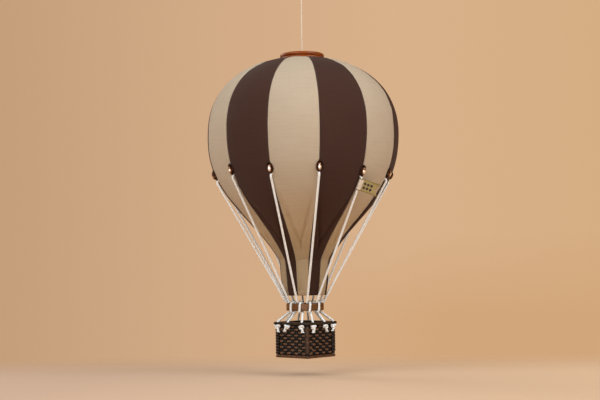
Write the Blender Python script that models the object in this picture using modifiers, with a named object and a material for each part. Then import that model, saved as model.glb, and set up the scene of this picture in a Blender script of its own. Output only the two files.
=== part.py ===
"""A hanging cloth hot air balloon: a twelve-gore envelope, a wooden crown ring, twelve cords with buttons,
a wooden load ring and a square wicker basket.

Lengths are in metres and +Z is up. Heights are first measured up from the underside of the basket, and the
whole balloon is then lowered so that the origin is inside the top of the loop that it hangs by. Angles round
the balloon are in degrees: 0 is the front, towards -Y, and 90 is towards +X.
"""

import math

import bmesh
import bpy
from mathutils import Matrix, Vector

GAP = 0.0003

# The envelope: a rounded crown over a body that narrows to a neck
GORES = 12
GORE_TURN = 30.0
FIRST_SEAM = 9.4
CLOTH = 0.002
PUFF = 0.03
EQUATOR_R = 0.103
EQUATOR_Z = 0.239
CROWN_RISE = 0.0842
CROWN_ROUNDNESS = 2.26
WAIST_R = 0.0286
WAIST_Z = 0.106
MOUTH_R = 0.0224
MOUTH_Z = 0.0663
GORE_COLUMNS = 6
CROWN_ROWS = 8
BODY_ROWS = 8
NECK_ROWS = 4

# The wooden crown ring, and the disc that closes it
CROWN_R = 0.0241
CROWN_HOLE_R = 0.0195
CROWN_BASE_Z = 0.3204
CROWN_HEIGHT = 0.0080
CROWN_EDGE = 0.0013
CROWN_GROOVE = 0.0008
CLOTH_START = 0.0006
DISC_BASE_Z = 0.3214
DISC_THICKNESS = 0.002

# The line that it hangs by
LINE_R = 0.00055
LINE_HOLE_R = 0.0009
STOP_KNOT_R = 0.0016
EYE_KNOT_R = 0.0015
EYE_HEIGHT = 0.010
EYE_WIDTH = 0.007
HANG_HEIGHT = 0.402

# The oval buttons on the seams, and how much higher each is sewn on than the height meant for it
BUTTON_Z = 0.197
BUTTON_LIFTS = (
    0.0012, -0.0024, -0.0020, -0.0006, 0.0005, -0.0008,
    0.0007, 0.0003, -0.0005, -0.0009, 0.0016, 0.0004,
)
BUTTON_WIDTH = 0.0069
BUTTON_TALL = 0.0124
BUTTON_DOME = 0.0043
BUTTON_DOME_SHARE = 0.88
BUTTON_FLANGE = 0.0008
BUTTON_STANDOFF = 0.0005

# The wooden load ring
RING_R = 0.0202
RING_WALL = 0.004
RING_BASE_Z = 0.0499
RING_HEIGHT = 0.0076
RING_EDGE = 0.0008

# The cords: from a button to the load ring, round it, and down through the basket's rim
CORD_R = 0.0012
CORD_BELOW_BUTTON = 0.0068
CORD_TOP_OFF = 0.0027
ARRIVE_R = 0.0210
ARRIVE_RISE = 0.0024
TURN_START = -3.2
TURN_DRIFT = 10.4
TURN_STEPS = 12
TURN_LENGTH = 17
BEND_RISE = 0.0008
# the cords that only go down inside the ring, with how far round from their seam they do it
SIDE_CORDS = {2: 10.6, 3: 4.6, 8: -3.4, 9: -1.4}
SIDE_LENGTH = 5
# a knot's sections: how far out and down from the hole's underside, and half its width and depth
KNOT = (
    (0.0000, 0.0002, 0.0013, 0.0012),
    (0.0007, 0.0005, 0.0027, 0.0016),
    (0.0016, 0.0013, 0.0036, 0.0021),
    (0.0020, 0.0026, 0.0036, 0.0022),
    (0.0020, 0.0036, 0.0028, 0.0019),
    (0.0018, 0.0043, 0.0017, 0.0015),
    (0.0018, 0.0062, 0.0015, 0.0012),
    (0.0020, 0.0083, 0.0021, 0.0013),
)

# The square wicker basket: a corner faces the front, a little to the right
BASKET_CORNER = 3.4
POST_R = 0.0022
POST_PLACE = 0.0210
WALL_MIDDLE = 0.02075
WEAVE_STAKES = 7
WEAVE_ROWS = 10
WEAVE_THICKNESS = 0.0012
WEAVE_SWING = 0.00065
BORDER_R = 0.0015
BORDER_MIDDLE = 0.0222
BORDER_CORNER = 0.0032
RIM_OUT = 0.0254
RIM_IN = 0.0186
RIM_BASE_Z = 0.0350
RIM_TOP_Z = 0.0380
RIM_CORNER = 0.0045
RIM_EDGE = 0.0011
HOLE_OUT = 0.0235
FLOOR_THICKNESS = 0.002
FLOOR_Z = 0.0008
FLOOR_INSET = 0.0008
FLOOR_BEVEL = 0.0006
# how far along a side the holes for its three cords are, from the side's middle, on the sides that follow
# the corner at the front to its left and to its right
LEFT_HOLES = (-0.0181, -0.0035, 0.0159)
RIGHT_HOLES = (-0.0148, 0.0039, 0.0181)

# The folded label on one cord
LABEL_CORD = 1
LABEL_LENGTH = 0.0216
LABEL_WIDTH = 0.0132
LABEL_THICKNESS = 0.0011
LABEL_NOTCH = 0.0037
LABEL_TIP = 0.0004
LABEL_WRAP = 0.0007
LABEL_DOWN = 0.0066
LABEL_OUTWARD = 44.0


def around(angle, radius, height):
    """The point at an angle round the balloon, a distance from its axis and a height."""
    turn = math.radians(angle)
    return Vector((radius * math.sin(turn), -radius * math.cos(turn), height))


def bezier(points, t):
    """The point at t, from 0 to 1, on the cubic curve of four points."""
    a, b, c, d = (Vector(p) for p in points)
    s = 1 - t
    return a * s**3 + b * 3 * s * s * t + c * 3 * s * t * t + d * t**3


BODY_CURVE = (
    (EQUATOR_R, EQUATOR_Z),
    (EQUATOR_R, EQUATOR_Z - 0.0672),
    (WAIST_R + 0.0294, WAIST_Z + 0.0500),
    (WAIST_R, WAIST_Z),
)
NECK_CURVE = (
    (WAIST_R, WAIST_Z),
    (WAIST_R - 0.0032, WAIST_Z - 0.0055),
    (MOUTH_R + 0.0036, MOUTH_Z + 0.0150),
    (MOUTH_R, MOUTH_Z),
)


def meridian():
    """The envelope's outline as (radius, height) points, from the crown ring down to the mouth."""
    start = math.asin(((CROWN_R + CLOTH_START) / EQUATOR_R) ** (CROWN_ROUNDNESS / 2))
    points = []
    for i in range(CROWN_ROWS):
        turn = start + (math.pi / 2 - start) * i / CROWN_ROWS
        across = EQUATOR_R * math.sin(turn) ** (2 / CROWN_ROUNDNESS)
        up = EQUATOR_Z + CROWN_RISE * math.cos(turn) ** (2 / CROWN_ROUNDNESS)
        points.append(Vector((across, up)))
    points += [bezier(BODY_CURVE, i / BODY_ROWS) for i in range(BODY_ROWS)]
    points += [bezier(NECK_CURVE, i / NECK_ROWS) for i in range(NECK_ROWS + 1)]
    return points


def body_at(height):
    """The radius of the envelope's lower body at a height, and its outward normal as (radius, height)."""
    low, high = 0.0, 1.0
    for _ in range(40):
        middle = (low + high) / 2
        if bezier(BODY_CURVE, middle).y > height:
            low = middle
        else:
            high = middle
    along = bezier(BODY_CURVE, low + 0.001) - bezier(BODY_CURVE, low - 0.001)
    return bezier(BODY_CURVE, low).x, Vector((-along.y, along.x)).normalized()


def clear_scene():
    for thing in list(bpy.data.objects):
        bpy.data.objects.remove(thing, do_unlink=True)


def collection(name):
    made = bpy.data.collections.new(name)
    bpy.context.scene.collection.children.link(made)
    return made


def material(name, color, roughness, metallic=0.0):
    made = bpy.data.materials.new(name)
    made.use_nodes = True
    made.diffuse_color = (*color, 1)
    shader = made.node_tree.nodes["Principled BSDF"]
    shader.inputs["Base Color"].default_value = (*color, 1)
    shader.inputs["Roughness"].default_value = roughness
    shader.inputs["Metallic"].default_value = metallic
    return made


def new_object(name, data, finish, parent, place=None):
    """An object in the balloon's collection, with its material, under its parent."""
    made = bpy.data.objects.new(name, data)
    parts.objects.link(made)
    if finish and not data.materials:
        data.materials.append(finish)
    made.parent = parent
    if place:
        made.matrix_local = place
    return made


def new_empty(name, parent, place=None):
    made = bpy.data.objects.new(name, None)
    parts.objects.link(made)
    made.empty_display_size = 0.02
    made.parent = parent
    if place:
        made.matrix_local = place
    return made


def smooth(mesh, angle=40):
    mesh.shade_smooth()
    mesh.set_sharp_from_angle(angle=math.radians(angle))


def mesh_from(name, bm, smoothing=40):
    mesh = bpy.data.meshes.new(name)
    bm.to_mesh(mesh)
    bm.free()
    if smoothing:
        smooth(mesh, smoothing)
    return mesh


def turned(name, profile, steps, closed, finish, parent, place=None):
    """A profile of (radius, height) points turned about Z. It runs down its outer side."""
    bm = bmesh.new()
    corners = [bm.verts.new((r, 0, z)) for r, z in profile]
    for one, two in zip(corners, corners[1:]):
        bm.edges.new((one, two))
    if closed:
        bm.edges.new((corners[-1], corners[0]))
    made = new_object(name, mesh_from(name, bm, None), finish, parent, place)
    screw = made.modifiers.new("turn", "SCREW")
    screw.steps = screw.render_steps = steps
    screw.use_merge_vertices = True
    screw.merge_threshold = 0.00001
    screw.use_smooth_shade = True
    return made


def tube(name, points, radius, finish, parent, sizes=None, closed=False, resolution=2):
    """A round tube through points. sizes gives its thickness at each point, as a share of radius."""
    curve = bpy.data.curves.new(name, "CURVE")
    curve.dimensions = "3D"
    curve.bevel_depth = radius
    curve.bevel_resolution = resolution
    curve.use_fill_caps = not closed
    spline = curve.splines.new("POLY")
    spline.points.add(len(points) - 1)
    for i, point in enumerate(points):
        spline.points[i].co = (*point, 1)
        spline.points[i].radius = sizes[i] if sizes else 1
    spline.use_cyclic_u = closed
    spline.use_smooth = True
    return new_object(name, curve, finish, parent)


def box(name, low, high, finish, parent, bevel=0.0):
    """A box between two corners, with an optional rounding of its edges."""
    bm = bmesh.new()
    bmesh.ops.create_cube(bm, size=1)
    size = [b - a for a, b in zip(low, high)]
    middle = [(a + b) / 2 for a, b in zip(low, high)]
    bmesh.ops.transform(bm, matrix=Matrix.Translation(middle) @ Matrix.Diagonal((*size, 1)), verts=bm.verts)
    made = new_object(name, mesh_from(name, bm, None), finish, parent)
    if bevel:
        rounding = made.modifiers.new("edges", "BEVEL")
        rounding.width = bevel
        rounding.segments = 2
    return made


def rope(name, points, sizes, level, wide_way, finish, parent):
    """A cord as one mesh, with an oval section at each point that is carried along it without a twist.

    sizes gives half the oval's width and depth at each point. The last few sections, as many as level says,
    lie level, and wide_way is the way that their width lies.
    """
    sides = 8
    last = len(points) - 1
    steps = [(two - one).normalized() for one, two in zip(points, points[1:])]
    along = [(steps[max(i - 1, 0)] + steps[min(i, last - 1)]).normalized() for i in range(last + 1)]
    along[-level:] = [Vector((0, 0, -1))] * level
    way = (wide_way - along[last] * wide_way.dot(along[last])).normalized()
    bm = bmesh.new()
    rings = []
    for i in range(last, -1, -1):
        if i < last:
            way = along[i + 1].rotation_difference(along[i]) @ way
        other = along[i].cross(way)
        wide, deep = sizes[i]
        ring = []
        for k in range(sides):
            turn = 2 * math.pi * k / sides
            ring.append(bm.verts.new(points[i] + way * math.cos(turn) * wide + other * math.sin(turn) * deep))
        rings.append(ring)
    for one, two in zip(rings, rings[1:]):
        for k in range(sides):
            after = (k + 1) % sides
            bm.faces.new((one[k], one[after], two[after], two[k]))
    bm.faces.new(rings[0])
    bm.faces.new(rings[-1])
    bmesh.ops.recalc_face_normals(bm, faces=bm.faces)
    return new_object(name, mesh_from(name, bm, 50), finish, parent)


def gore_mesh(name, finish):
    """One gore, centred on angle 0: a grid laid on the turned outline and puffed out between its seams."""
    outline = meridian()
    rows = len(outline) - 1
    bm = bmesh.new()
    bmesh.ops.create_grid(bm, x_segments=GORE_COLUMNS, y_segments=rows, size=1)
    for vert in bm.verts:
        across = vert.co.x
        row = round((1 - vert.co.y) / 2 * rows)
        radius, height = outline[row]
        along = outline[min(row + 1, rows)] - outline[max(row - 1, 0)]
        outward = Vector((-along.y, along.x)).normalized()
        half = math.degrees(math.pi / GORES - GAP / 2 / radius)
        puff = PUFF * math.sin(math.pi / GORES) * radius * (1 - across * across)
        vert.co = around(across * half, radius + outward.x * puff, height + outward.y * puff)
    bm.normal_update()
    if sum((face.normal.dot(Vector((0, -1, 0))) for face in bm.faces)) < 0:
        bmesh.ops.reverse_faces(bm, faces=bm.faces)
    mesh = mesh_from(name, bm, 30)
    mesh.materials.append(finish)
    return mesh


def make_gores(parent):
    """Twelve cloth gores, brown and beige in turn, each open on the inside and glued under the crown ring."""
    brown = material("brown_cloth", (0.065, 0.028, 0.02), 0.9)
    beige = material("beige_cloth", (0.5, 0.38, 0.25), 0.9)
    meshes = [gore_mesh("brown_gore", brown), gore_mesh("beige_gore", beige)]
    for i in range(GORES):
        middle = FIRST_SEAM + GORE_TURN * (i + 0.5)
        place = Matrix.Rotation(math.radians(middle), 4, "Z")
        gore = new_object(f"gore_{i + 1:02d}", meshes[i % 2], None, parent, place)
        cloth = gore.modifiers.new("cloth", "SOLIDIFY")
        cloth.thickness = CLOTH
        cloth.offset = -1
        cloth.use_even_offset = True


def make_crown(parent, wood):
    """The crown ring, with a groove round its middle, and the disc inside it with a hole for the line."""
    top = CROWN_BASE_Z + CROWN_HEIGHT
    half = CROWN_HEIGHT / 2
    edge = CROWN_EDGE
    band = []
    for base in (CROWN_BASE_Z + half, CROWN_BASE_Z):
        band += [
            (CROWN_R - edge, base + half),
            (CROWN_R - edge * 0.3, base + half - edge * 0.3),
            (CROWN_R, base + half - edge),
            (CROWN_R, base + edge),
            (CROWN_R - edge * 0.3, base + edge * 0.3),
        ]
    band[5] = (CROWN_R - CROWN_GROOVE, CROWN_BASE_Z + half)
    band[4] = (CROWN_R - CROWN_GROOVE * 0.4, CROWN_BASE_Z + half + edge * 0.4)
    inner = [
        (CROWN_R - edge, CROWN_BASE_Z),
        (CROWN_HOLE_R + edge / 2, CROWN_BASE_Z),
        (CROWN_HOLE_R, CROWN_BASE_Z + edge / 2),
        (CROWN_HOLE_R, top - edge / 2),
        (CROWN_HOLE_R + edge / 2, top),
    ]
    turned("crown_ring", band + inner, 40, True, wood, parent)
    disc_r = CROWN_HOLE_R - GAP
    disc_top = DISC_BASE_Z + DISC_THICKNESS
    disc = [(LINE_HOLE_R, disc_top), (disc_r, disc_top), (disc_r, DISC_BASE_Z), (LINE_HOLE_R, DISC_BASE_Z)]
    turned("crown_disc", disc, 24, True, wood, parent)


def make_hanging(parent):
    """The thin line with a stop knot under the crown disc, and the eye at its top that hangs on a hook."""
    cotton = material("line_cotton", (0.75, 0.68, 0.6), 0.8)
    knot_top = DISC_BASE_Z - GAP
    stop = STOP_KNOT_R / LINE_R
    eye_knot = EYE_KNOT_R / LINE_R
    eye_base = HANG_HEIGHT + LINE_R * 2 - EYE_HEIGHT
    heights = [
        (knot_top - 0.0030, 1.0),
        (knot_top - 0.0024, stop * 0.8),
        (knot_top - 0.0014, stop),
        (knot_top - 0.0005, stop * 0.85),
        (knot_top, 1.0),
        (DISC_BASE_Z + 0.02, 1.0),
        (DISC_BASE_Z + 0.04, 1.0),
        (eye_base - 0.0038, 1.0),
        (eye_base - 0.0031, eye_knot * 0.8),
        (eye_base - 0.0019, eye_knot),
        (eye_base - 0.0009, eye_knot * 0.85),
        (eye_base - GAP, 1.0),
    ]
    tube("hang_line", [(0, 0, z) for z, _ in heights], LINE_R, cotton, parent, [size for _, size in heights])
    count = 20
    middle = eye_base + EYE_HEIGHT / 2
    eye = []
    for i in range(count):
        turn = 2 * math.pi * i / count
        narrow = 1 - 0.35 * (1 - math.cos(turn)) / 2
        across = (EYE_WIDTH / 2 - LINE_R) * math.sin(turn) * narrow
        eye.append((across, 0, middle + (EYE_HEIGHT / 2 - LINE_R) * math.cos(turn)))
    tube("hang_loop", eye, LINE_R, cotton, parent, closed=True)


def make_buttons(parent):
    """Twelve oval domed metal buttons with a thin flange, one on each seam."""
    metal = material("antique_brass", (0.32, 0.16, 0.07), 0.35, 1.0)
    half = BUTTON_TALL / 2
    rise = BUTTON_DOME - BUTTON_FLANGE
    profile = [(0, BUTTON_DOME)]
    for turn in (22, 45, 65, 82):
        angle = math.radians(turn)
        profile.append((half * BUTTON_DOME_SHARE * math.sin(angle), BUTTON_FLANGE + rise * math.cos(angle)))
    profile += [(half, BUTTON_FLANGE), (half, 0), (0, 0)]
    for i in range(GORES):
        seam = FIRST_SEAM + GORE_TURN * i
        height = BUTTON_Z + BUTTON_LIFTS[i]
        radius, outward = body_at(height)
        tilt = math.atan2(outward.y, outward.x)
        lift = Vector((radius, height)) + outward * BUTTON_STANDOFF
        place = (
            Matrix.Rotation(math.radians(seam), 4, "Z")
            @ Matrix.Translation((0, -lift.x, lift.y))
            @ Matrix.Rotation(math.pi / 2 - tilt, 4, "X")
            @ Matrix.Diagonal((BUTTON_WIDTH / BUTTON_TALL, 1, 1, 1))
        )
        turned(f"button_{i + 1:02d}", profile, 14, False, metal, parent, place)


def make_load_ring(parent, wood):
    """The wooden hoop that gathers the cords, with rounded edges."""
    edge = RING_EDGE
    top = RING_BASE_Z + RING_HEIGHT
    inner_r = RING_R - RING_WALL
    profile = [
        (RING_R - edge, top),
        (RING_R, top - edge),
        (RING_R, RING_BASE_Z + edge),
        (RING_R - edge, RING_BASE_Z),
        (inner_r + edge, RING_BASE_Z),
        (inner_r, RING_BASE_Z + edge),
        (inner_r, top - edge),
        (inner_r + edge, top),
    ]
    turned("load_ring", profile, 32, True, wood, parent)


def basket_point(side, along, out, height):
    """A point by the basket: a side counted round from the front left, how far along it, how far out."""
    normal = BASKET_CORNER - 45 + 90 * side
    return around(normal, out, height) + around(normal + 90, along, 0)


def turn_point(start, step):
    """A point on a cord's way round the load ring: over it at the start angle, and down inside it first."""
    share = step / TURN_STEPS
    swing = 2 * math.pi * share
    wide = RING_WALL / 2 + CORD_R + GAP
    tall = RING_HEIGHT / 2 + CORD_R + GAP
    inward = math.copysign(abs(math.sin(swing)) ** 0.5, math.sin(swing))
    up = math.copysign(abs(math.cos(swing)) ** 0.5, math.cos(swing))
    angle = start + TURN_DRIFT * share
    return around(angle, RING_R - RING_WALL / 2 - wide * inward, RING_BASE_Z + RING_HEIGHT / 2 + tall * up)


def cord_hole(index):
    """The side of the basket whose rim a cord goes through, and how far along that side."""
    side = ((index + 3) // 3) % 4
    return side, (LEFT_HOLES if side % 2 == 0 else RIGHT_HOLES)[index % 3]


def cord_route(index):
    """The points of a cord from its button down to the end of its knot, with its section at each."""
    seam = FIRST_SEAM + GORE_TURN * index
    height = BUTTON_Z + BUTTON_LIFTS[index] - CORD_BELOW_BUTTON
    radius, outward = body_at(height)
    top = Vector((radius, height)) + outward * CORD_TOP_OFF
    side, hole = cord_hole(index)
    start = seam + SIDE_CORDS.get(index, TURN_START)
    length = SIDE_LENGTH if index in SIDE_CORDS else TURN_LENGTH
    points = [
        around(seam, top.x, top.y),
        around(start, ARRIVE_R, RING_BASE_Z + RING_HEIGHT + ARRIVE_RISE),
    ]
    points += [turn_point(start, step) for step in range(length + 1)]
    points.append(basket_point(side, hole, HOLE_OUT, RIM_TOP_Z + BEND_RISE))
    sizes = [(CORD_R, CORD_R)] * len(points)
    for out, down, wide, deep in KNOT:
        points.append(basket_point(side, hole, HOLE_OUT + out, RIM_BASE_Z - down))
        sizes.append((wide, deep))
    return points, sizes


def make_cords(parent):
    """Twelve cotton cords, each taken round the load ring and knotted under the basket's rim."""
    cotton = material("cord_cotton", (0.72, 0.66, 0.56), 0.9)
    for i in range(GORES):
        points, sizes = cord_route(i)
        side, _ = cord_hole(i)
        wide_way = basket_point(side, 1, 0, 0) - basket_point(side, 0, 0, 0)
        rope(f"cord_{i + 1:02d}", points, sizes, len(KNOT), wide_way, cotton, parent)


def square_loop(half, corner, height):
    """A square loop with rounded corners, half its width out from the basket's middle."""
    points = []
    for k in range(4):
        for turn in (0, 30, 60, 90):
            angle = math.radians(turn + 90 * k)
            centre = Vector((half - corner, half - corner, 0))
            centre.rotate(Matrix.Rotation(math.radians(90 * k), 3, "Z"))
            points.append(centre + Vector((corner * math.cos(angle), corner * math.sin(angle), height)))
    return points


def square_band(name, section, corner, finish, parent):
    """A closed band round the basket. section is a loop of (distance out, height) points."""
    reach = max(out for out, _ in section)
    bm = bmesh.new()
    loops = []
    for out, height in section:
        radius = max(corner - (reach - out), GAP)
        loops.append([bm.verts.new(point) for point in square_loop(out, radius, height)])
    for one, two in zip(loops, loops[1:] + loops[:1]):
        for i in range(len(one)):
            after = (i + 1) % len(one)
            bm.faces.new((one[i], one[after], two[after], two[i]))
    bmesh.ops.recalc_face_normals(bm, faces=bm.faces)
    return new_object(name, mesh_from(name, bm), finish, parent)


def make_basket(parent):
    """The wicker basket: a floor, four woven walls between four posts, a border below and a rim above."""
    wicker = material("dark_wicker", (0.05, 0.022, 0.014), 0.55)
    basket = new_empty("basket", parent, Matrix.Rotation(math.radians(BASKET_CORNER - 45), 4, "Z"))
    section = []
    for k in range(8):
        turn = math.radians(22.5 + 45 * k)
        section.append((BORDER_MIDDLE + BORDER_R * math.cos(turn), BORDER_R * (1 + math.sin(turn))))
    square_band("basket_border", section, BORDER_CORNER, wicker, basket)
    edge = BORDER_MIDDLE - BORDER_R - FLOOR_INSET
    floor_top = FLOOR_Z + FLOOR_THICKNESS
    box("basket_floor", (-edge, -edge, FLOOR_Z), (edge, edge, floor_top), wicker, basket, FLOOR_BEVEL)
    make_rim(basket, parent, wicker)
    low = 2 * BORDER_R + GAP
    high = RIM_BASE_Z - GAP
    tall = high - low
    for k in range(4):
        turn = Matrix.Rotation(math.radians(90 * k), 4, "Z")
        corner = new_empty(f"corner_{k + 1}", basket, turn)
        bm = bmesh.new()
        bmesh.ops.create_cone(bm, cap_ends=True, segments=12, radius1=POST_R, radius2=POST_R, depth=tall)
        bmesh.ops.translate(bm, vec=(POST_PLACE, -POST_PLACE, low + tall / 2), verts=bm.verts)
        new_object(f"basket_post_{k + 1}", mesh_from("post", bm), wicker, corner)
        new_object(f"basket_wall_{k + 1}", wall_mesh(low, high), wicker, corner)


def make_rim(basket, parent, wicker):
    """The rim, a band that stands out past the walls, with holes for the twelve cords to go down through."""
    near = RIM_EDGE * 0.3
    section = []
    for out, inner in ((RIM_OUT, -1), (RIM_IN, 1)):
        corner = [
            (out + inner * RIM_EDGE, RIM_TOP_Z),
            (out + inner * near, RIM_TOP_Z - near),
            (out, RIM_TOP_Z - RIM_EDGE),
            (out, RIM_BASE_Z + RIM_EDGE),
            (out + inner * near, RIM_BASE_Z + near),
            (out + inner * RIM_EDGE, RIM_BASE_Z),
        ]
        section += corner if inner < 0 else reversed(corner)
    rim = square_band("basket_rim", section, RIM_CORNER, wicker, basket)
    bm = bmesh.new()
    for i in range(GORES):
        side, hole = cord_hole(i)
        place = Matrix.Translation(basket_point(side, hole, HOLE_OUT, (RIM_BASE_Z + RIM_TOP_Z) / 2))
        reach = 2 * (RIM_TOP_Z - RIM_BASE_Z)
        size = CORD_R + GAP
        bmesh.ops.create_cone(
            bm, cap_ends=True, segments=12, radius1=size, radius2=size, depth=reach, matrix=place
        )
    drill = bpy.data.objects.new("cord_holes", mesh_from("cord_holes", bm, None))
    cutters.objects.link(drill)
    drill.parent = parent
    drill.hide_render = True
    drill.display_type = "WIRE"
    cut = rim.modifiers.new("cord holes", "BOOLEAN")
    cut.operation = "DIFFERENCE"
    cut.solver = "EXACT"
    cut.object = drill


def wall_mesh(low, high):
    """A woven wall: each row of splint goes out over every other stake and in behind the one between."""
    reach = POST_PLACE - POST_R - GAP
    columns = 2 * WEAVE_STAKES
    rows = 2 * WEAVE_ROWS
    bm = bmesh.new()
    sheets = []
    for out in (WALL_MIDDLE + WEAVE_THICKNESS / 2, WALL_MIDDLE - WEAVE_THICKNESS / 2):
        sheet = {}
        for i in range(columns + 1):
            for j in range(rows + 1):
                swing = 0
                if i % 2 and j % 2:
                    swing = WEAVE_SWING if (i // 2 + j // 2) % 2 else -WEAVE_SWING
                across = reach * (2 * i / columns - 1)
                sheet[i, j] = bm.verts.new((across, -out - swing, high + (low - high) * j / rows))
        for i in range(columns):
            for j in range(rows):
                bm.faces.new((sheet[i, j], sheet[i + 1, j], sheet[i + 1, j + 1], sheet[i, j + 1]))
        sheets.append(sheet)
    edge = [(i, 0) for i in range(columns)] + [(columns, j) for j in range(rows)]
    edge += [(i, rows) for i in range(columns, 0, -1)] + [(0, j) for j in range(rows, 0, -1)]
    outer, inner = sheets
    for one, two in zip(edge, edge[1:] + edge[:1]):
        bm.faces.new((outer[one], outer[two], inner[two], inner[one]))
    bmesh.ops.recalc_face_normals(bm, faces=bm.faces)
    return mesh_from("woven_wall", bm, 15)


def label_frame():
    """The place of the label: its origin on the cord's axis, X along the label, Z down the cord."""
    points, _ = cord_route(LABEL_CORD)
    start, arrival = points[0], points[1]
    down = (arrival - start).normalized()
    seam = FIRST_SEAM + GORE_TURN * LABEL_CORD
    sideways = around(seam + 90, 1, 0)
    sideways = (sideways - down * sideways.dot(down)).normalized()
    outwards = sideways.cross(down) * -1
    turn = math.radians(LABEL_OUTWARD)
    along = sideways * math.cos(turn) + outwards * math.sin(turn)
    across = down.cross(along)
    place = Matrix((along, across, down)).transposed().to_4x4()
    place.translation = start + down * LABEL_DOWN
    return place


def notch_mesh():
    """The wedge that cuts the label's swallow tail."""
    beyond = 0.002
    half = (LABEL_WIDTH / 2 - LABEL_TIP) * (LABEL_NOTCH + beyond) / LABEL_NOTCH
    end = LABEL_LENGTH + beyond
    bm = bmesh.new()
    outline = ((LABEL_LENGTH - LABEL_NOTCH, 0), (end, half), (end, -half))
    face = bm.faces.new([bm.verts.new((x, -LABEL_THICKNESS, z)) for x, z in outline])
    made = bmesh.ops.extrude_face_region(bm, geom=[face])
    raised = [item for item in made["geom"] if isinstance(item, bmesh.types.BMVert)]
    bmesh.ops.translate(bm, vec=(0, 2 * LABEL_THICKNESS, 0), verts=raised)
    bmesh.ops.recalc_face_normals(bm, faces=bm.faces)
    return mesh_from("label_notch", bm, None)


def make_label(parent):
    """A woven label folded round one cord, with a swallow-tailed end. It can turn round the cord."""
    cloth = material("olive_cloth", (0.3, 0.22, 0.08), 0.9)
    pivot = new_empty("label_pivot", parent, label_frame())
    inner = CORD_R + GAP
    outer = inner + LABEL_WRAP
    half = LABEL_THICKNESS / 2
    rows = 14
    wrap = math.asin(half / outer)
    ring = [wrap + (2 * math.pi - 2 * wrap) * i / rows for i in range(rows + 1)]
    outline = [(outer * math.cos(a), outer * math.sin(a)) for a in ring]
    outline += [(LABEL_LENGTH, -half), (LABEL_LENGTH, half)]
    curve = bpy.data.curves.new("label_outline", "CURVE")
    curve.dimensions = "2D"
    curve.fill_mode = "BOTH"
    curve.extrude = LABEL_WIDTH / 2
    for loop in (outline, [(inner * math.cos(a), inner * math.sin(a)) for a in ring[:-1]]):
        spline = curve.splines.new("POLY")
        spline.points.add(len(loop) - 1)
        for i, point in enumerate(loop):
            spline.points[i].co = (*point, 0, 1)
        spline.use_cyclic_u = True
    flat = bpy.data.objects.new("label_outline", curve)
    parts.objects.link(flat)
    bpy.context.view_layer.update()
    mesh = bpy.data.meshes.new_from_object(flat.evaluated_get(bpy.context.evaluated_depsgraph_get()))
    bpy.data.objects.remove(flat, do_unlink=True)
    bm = bmesh.new()
    bm.from_mesh(mesh)
    bmesh.ops.remove_doubles(bm, verts=bm.verts, dist=0.000001)
    bm.to_mesh(mesh)
    bm.free()
    mesh.materials.clear()
    label = new_object("label", mesh, cloth, pivot)
    drill = bpy.data.objects.new("label_notch", notch_mesh())
    cutters.objects.link(drill)
    drill.parent = pivot
    drill.hide_render = True
    drill.display_type = "WIRE"
    cut = label.modifiers.new("swallow tail", "BOOLEAN")
    cut.operation = "DIFFERENCE"
    cut.solver = "EXACT"
    cut.object = drill


clear_scene()
parts = collection("hot_air_balloon")
cutters = collection("cutters")
hanger = new_empty("hanger", None, Matrix.Translation((0, 0, -HANG_HEIGHT)))
balloon = new_empty("balloon_turn", hanger)
crown_wood = material("orange_wood", (0.33, 0.13, 0.05), 0.3)
ring_wood = material("brown_wood", (0.25, 0.11, 0.045), 0.5)
make_hanging(hanger)
make_gores(balloon)
make_crown(balloon, crown_wood)
make_buttons(balloon)
make_load_ring(balloon, ring_wood)
make_cords(balloon)
make_basket(balloon)
make_label(balloon)
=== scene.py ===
import math

import bpy
import numpy as np
from mathutils import Matrix, Vector, noise


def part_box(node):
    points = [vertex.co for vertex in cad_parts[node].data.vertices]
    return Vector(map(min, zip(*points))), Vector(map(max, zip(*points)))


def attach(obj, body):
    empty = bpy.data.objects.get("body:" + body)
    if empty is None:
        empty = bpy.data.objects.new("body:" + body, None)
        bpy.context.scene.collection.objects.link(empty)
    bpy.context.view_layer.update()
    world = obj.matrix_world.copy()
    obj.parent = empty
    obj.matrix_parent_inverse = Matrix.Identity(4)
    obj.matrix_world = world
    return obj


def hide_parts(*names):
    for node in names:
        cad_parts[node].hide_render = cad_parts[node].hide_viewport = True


# Lengths are metres in the frame of the solids, with +Z up and -Y the front, and pattern places are
# millimetres. Heights are measured up from the underside of the basket.
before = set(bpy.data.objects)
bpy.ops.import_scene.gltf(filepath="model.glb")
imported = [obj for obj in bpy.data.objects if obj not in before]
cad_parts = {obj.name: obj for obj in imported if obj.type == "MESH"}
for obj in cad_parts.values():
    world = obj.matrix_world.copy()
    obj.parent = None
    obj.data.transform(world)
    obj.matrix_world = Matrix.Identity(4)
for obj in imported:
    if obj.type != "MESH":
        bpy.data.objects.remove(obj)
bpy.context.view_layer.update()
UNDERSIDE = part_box("basket_border")[0].z


# The camera
# It stands in front at the height of the neck, 1.3 m away, and looks up a little with a long lens.
CAMERA_PLACE = Vector((-0.0041, -1.3, -0.308))
LENS = 72
SENSOR = 36
PHOTO_WIDE = 600
# how many pixels below the photograph's middle a point at the camera's own height lies
EYE_LEVEL = 69.5
CAMERA_UP = math.atan(EYE_LEVEL / (PHOTO_WIDE * LENS / SENSOR))
CAMERA_ROLL = math.radians(-0.7)
camera = bpy.data.objects.new("camera", bpy.data.cameras.new("camera"))
bpy.context.scene.collection.objects.link(camera)
camera.data.lens = LENS
camera.data.sensor_width = SENSOR
camera.matrix_world = (
    Matrix.Translation(CAMERA_PLACE)
    @ Matrix.Rotation(math.pi / 2 + CAMERA_UP, 4, "X")
    @ Matrix.Rotation(CAMERA_ROLL, 4, "Z")
)
bpy.context.scene.camera = camera


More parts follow.
